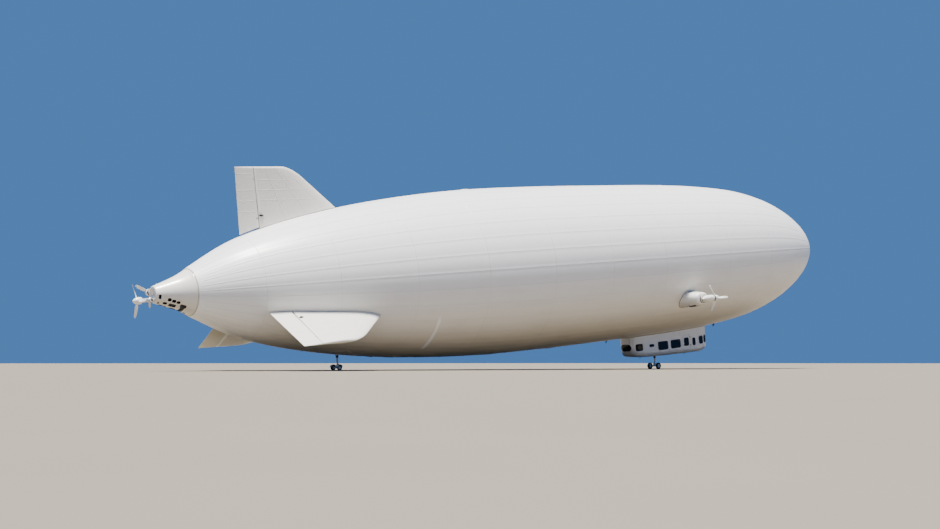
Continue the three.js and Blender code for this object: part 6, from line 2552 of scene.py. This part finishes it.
# each side of a bezel: from and to across the screen's middle, bottom, top
BEZEL = [
    (-0.115, 0.115, -8.735, -8.72), (-0.115, 0.115, -8.52, -8.505), (-0.115, -0.10, -8.72, -8.52),
    (0.10, 0.115, -8.72, -8.52),
]
console = carved(region(17.22, 16.93, -9.3, -8.42, -0.55, 0.55), gondola_solid(WALL + 0.004), "INTERSECT")
make("console_box", console, TRIM, ["instrument_console"], smooth=30)
screens = [
    box_between(at(17.238, out - 0.10, -8.72), at(17.224, out + 0.10, -8.52), 0.004) for out in SCREEN_OUTS
]
make("console_screens", joined(screens), SCREEN)
controls = [
    box_between(at(17.246, out + low, bottom), at(17.222, out + high, top), 0.003)
    for out in SCREEN_OUTS for low, high, bottom, top in BEZEL
]
glare_shield = box_between(at(17.32, -0.56, -8.44), at(17.0, 0.56, -8.405), 0.015)
pedestal = box_between(at(17.80, -0.11, -9.02), at(17.23, 0.11, -8.74), 0.02)
controls += [glare_shield, pedestal]
for out in LEVER_OUTS:
    controls.append(bar(at(17.45, out, -8.745), at(17.41, out, -8.66), 0.007, 10))
    controls.append(soft_box((0.035, 0.03, 0.03), 0.01).moved(shift(at(17.41, out, -8.65))))
for out in COLUMN_OUTS:
    controls.append(bar(at(17.55, out, -8.95), at(17.52, out, -8.62), 0.011, 12))
    controls.append(bar(at(17.52, out, -8.64), at(17.50, out, -8.53), 0.019, 14, 0.2))
make("console_controls", joined(controls), TRIM)

# %% [markdown]
# ## Floor
# The craft stands on a plain pale floor, so large that its far edge reads as the horizon. Its warm tone
# throws a little warm light back up on the belly, as dry ground does under a real one.

# %% Floor
REACH = 400.0
corners = [(-REACH, -REACH, 0), (REACH, -REACH, 0), (REACH, REACH, 0), (-REACH, REACH, 0)]
floor_mesh = bpy.data.meshes.new("floor")
floor_mesh.from_pydata(corners, [], [(0, 1, 2, 3)])
floor = bpy.data.objects.new("floor", floor_mesh)
bpy.context.scene.collection.objects.link(floor)
paint = Finish("floor_paint", Specular_IOR_Level=0.25)
mottle = paint.noise(paint.place(), 0.8, 4.0)
tone = paint.mix((0.20, 0.172, 0.132), (0.22, 0.192, 0.148), mottle)
floor_mesh.materials.append(paint.set(Base_Color=tone, Roughness=mottle * 0.1 + 0.65))
print("floor", round(REACH * 2), "m square")

# %% [markdown]
# ## Light
# A clear blue sky gives the shadows their colour. One strong warm sun, nearly overhead and a little soft,
# models the hull, and a faint second one keeps the far side from going flat.

# %% Light
SKY_BLUE = (0.15, 0.41, 1.0, 1)
SKY_STRENGTH = 0.50
world = bpy.data.worlds.new("studio")
world.use_nodes = True
sky = world.node_tree.nodes["Background"]
sky.inputs["Color"].default_value = SKY_BLUE
sky.inputs["Strength"].default_value = SKY_STRENGTH
bpy.context.scene.world = world


def sun(name, direction, strength, spread, colour):
    light = bpy.data.lights.new(name, "SUN")
    light.energy = strength
    light.angle = math.radians(spread)
    light.color = colour
    lamp_object = bpy.data.objects.new(name, light)
    lamp_object.rotation_euler = (-Vector(direction)).to_track_quat("-Z", "Y").to_euler()
    bpy.context.scene.collection.objects.link(lamp_object)


sun("key", (-0.12, -0.08, 1.0), 14.0, 12, (1.0, 0.96, 0.90))
sun("fill", (0.8, 0.6, 0.5), 0.15, 60, (0.85, 0.92, 1.0))
print("lights", len(bpy.data.lights))

# %% [markdown]
# ## Camera
# The photograph looks up at the craft from behind and from its starboard side, so the camera keeps that
# side and that quarter, low down at floor level.

# %% Camera
VIEW_FROM = -42.0
VIEW_DISTANCE = 56.0
VIEW_HEIGHT = 0.3
LENS = 49.0
AIM = Vector((-2.2, 2.0, 4.6))
camera_data = bpy.data.cameras.new("camera")
camera_data.sensor_width = 36.0
camera_data.lens = LENS
camera_data.clip_end = 1500
camera = bpy.data.objects.new("camera", camera_data)
bearing = math.radians(VIEW_FROM)
camera.location = Vector((math.sin(bearing) * VIEW_DISTANCE, -math.cos(bearing) * VIEW_DISTANCE, VIEW_HEIGHT))
camera.rotation_mode = "QUATERNION"
camera.rotation_quaternion = (AIM - camera.location).to_track_quat("-Z", "Y")
bpy.context.scene.collection.objects.link(camera)
bpy.context.scene.camera = camera
print("camera", round(VIEW_DISTANCE, 1), "m away")

# %% [markdown]
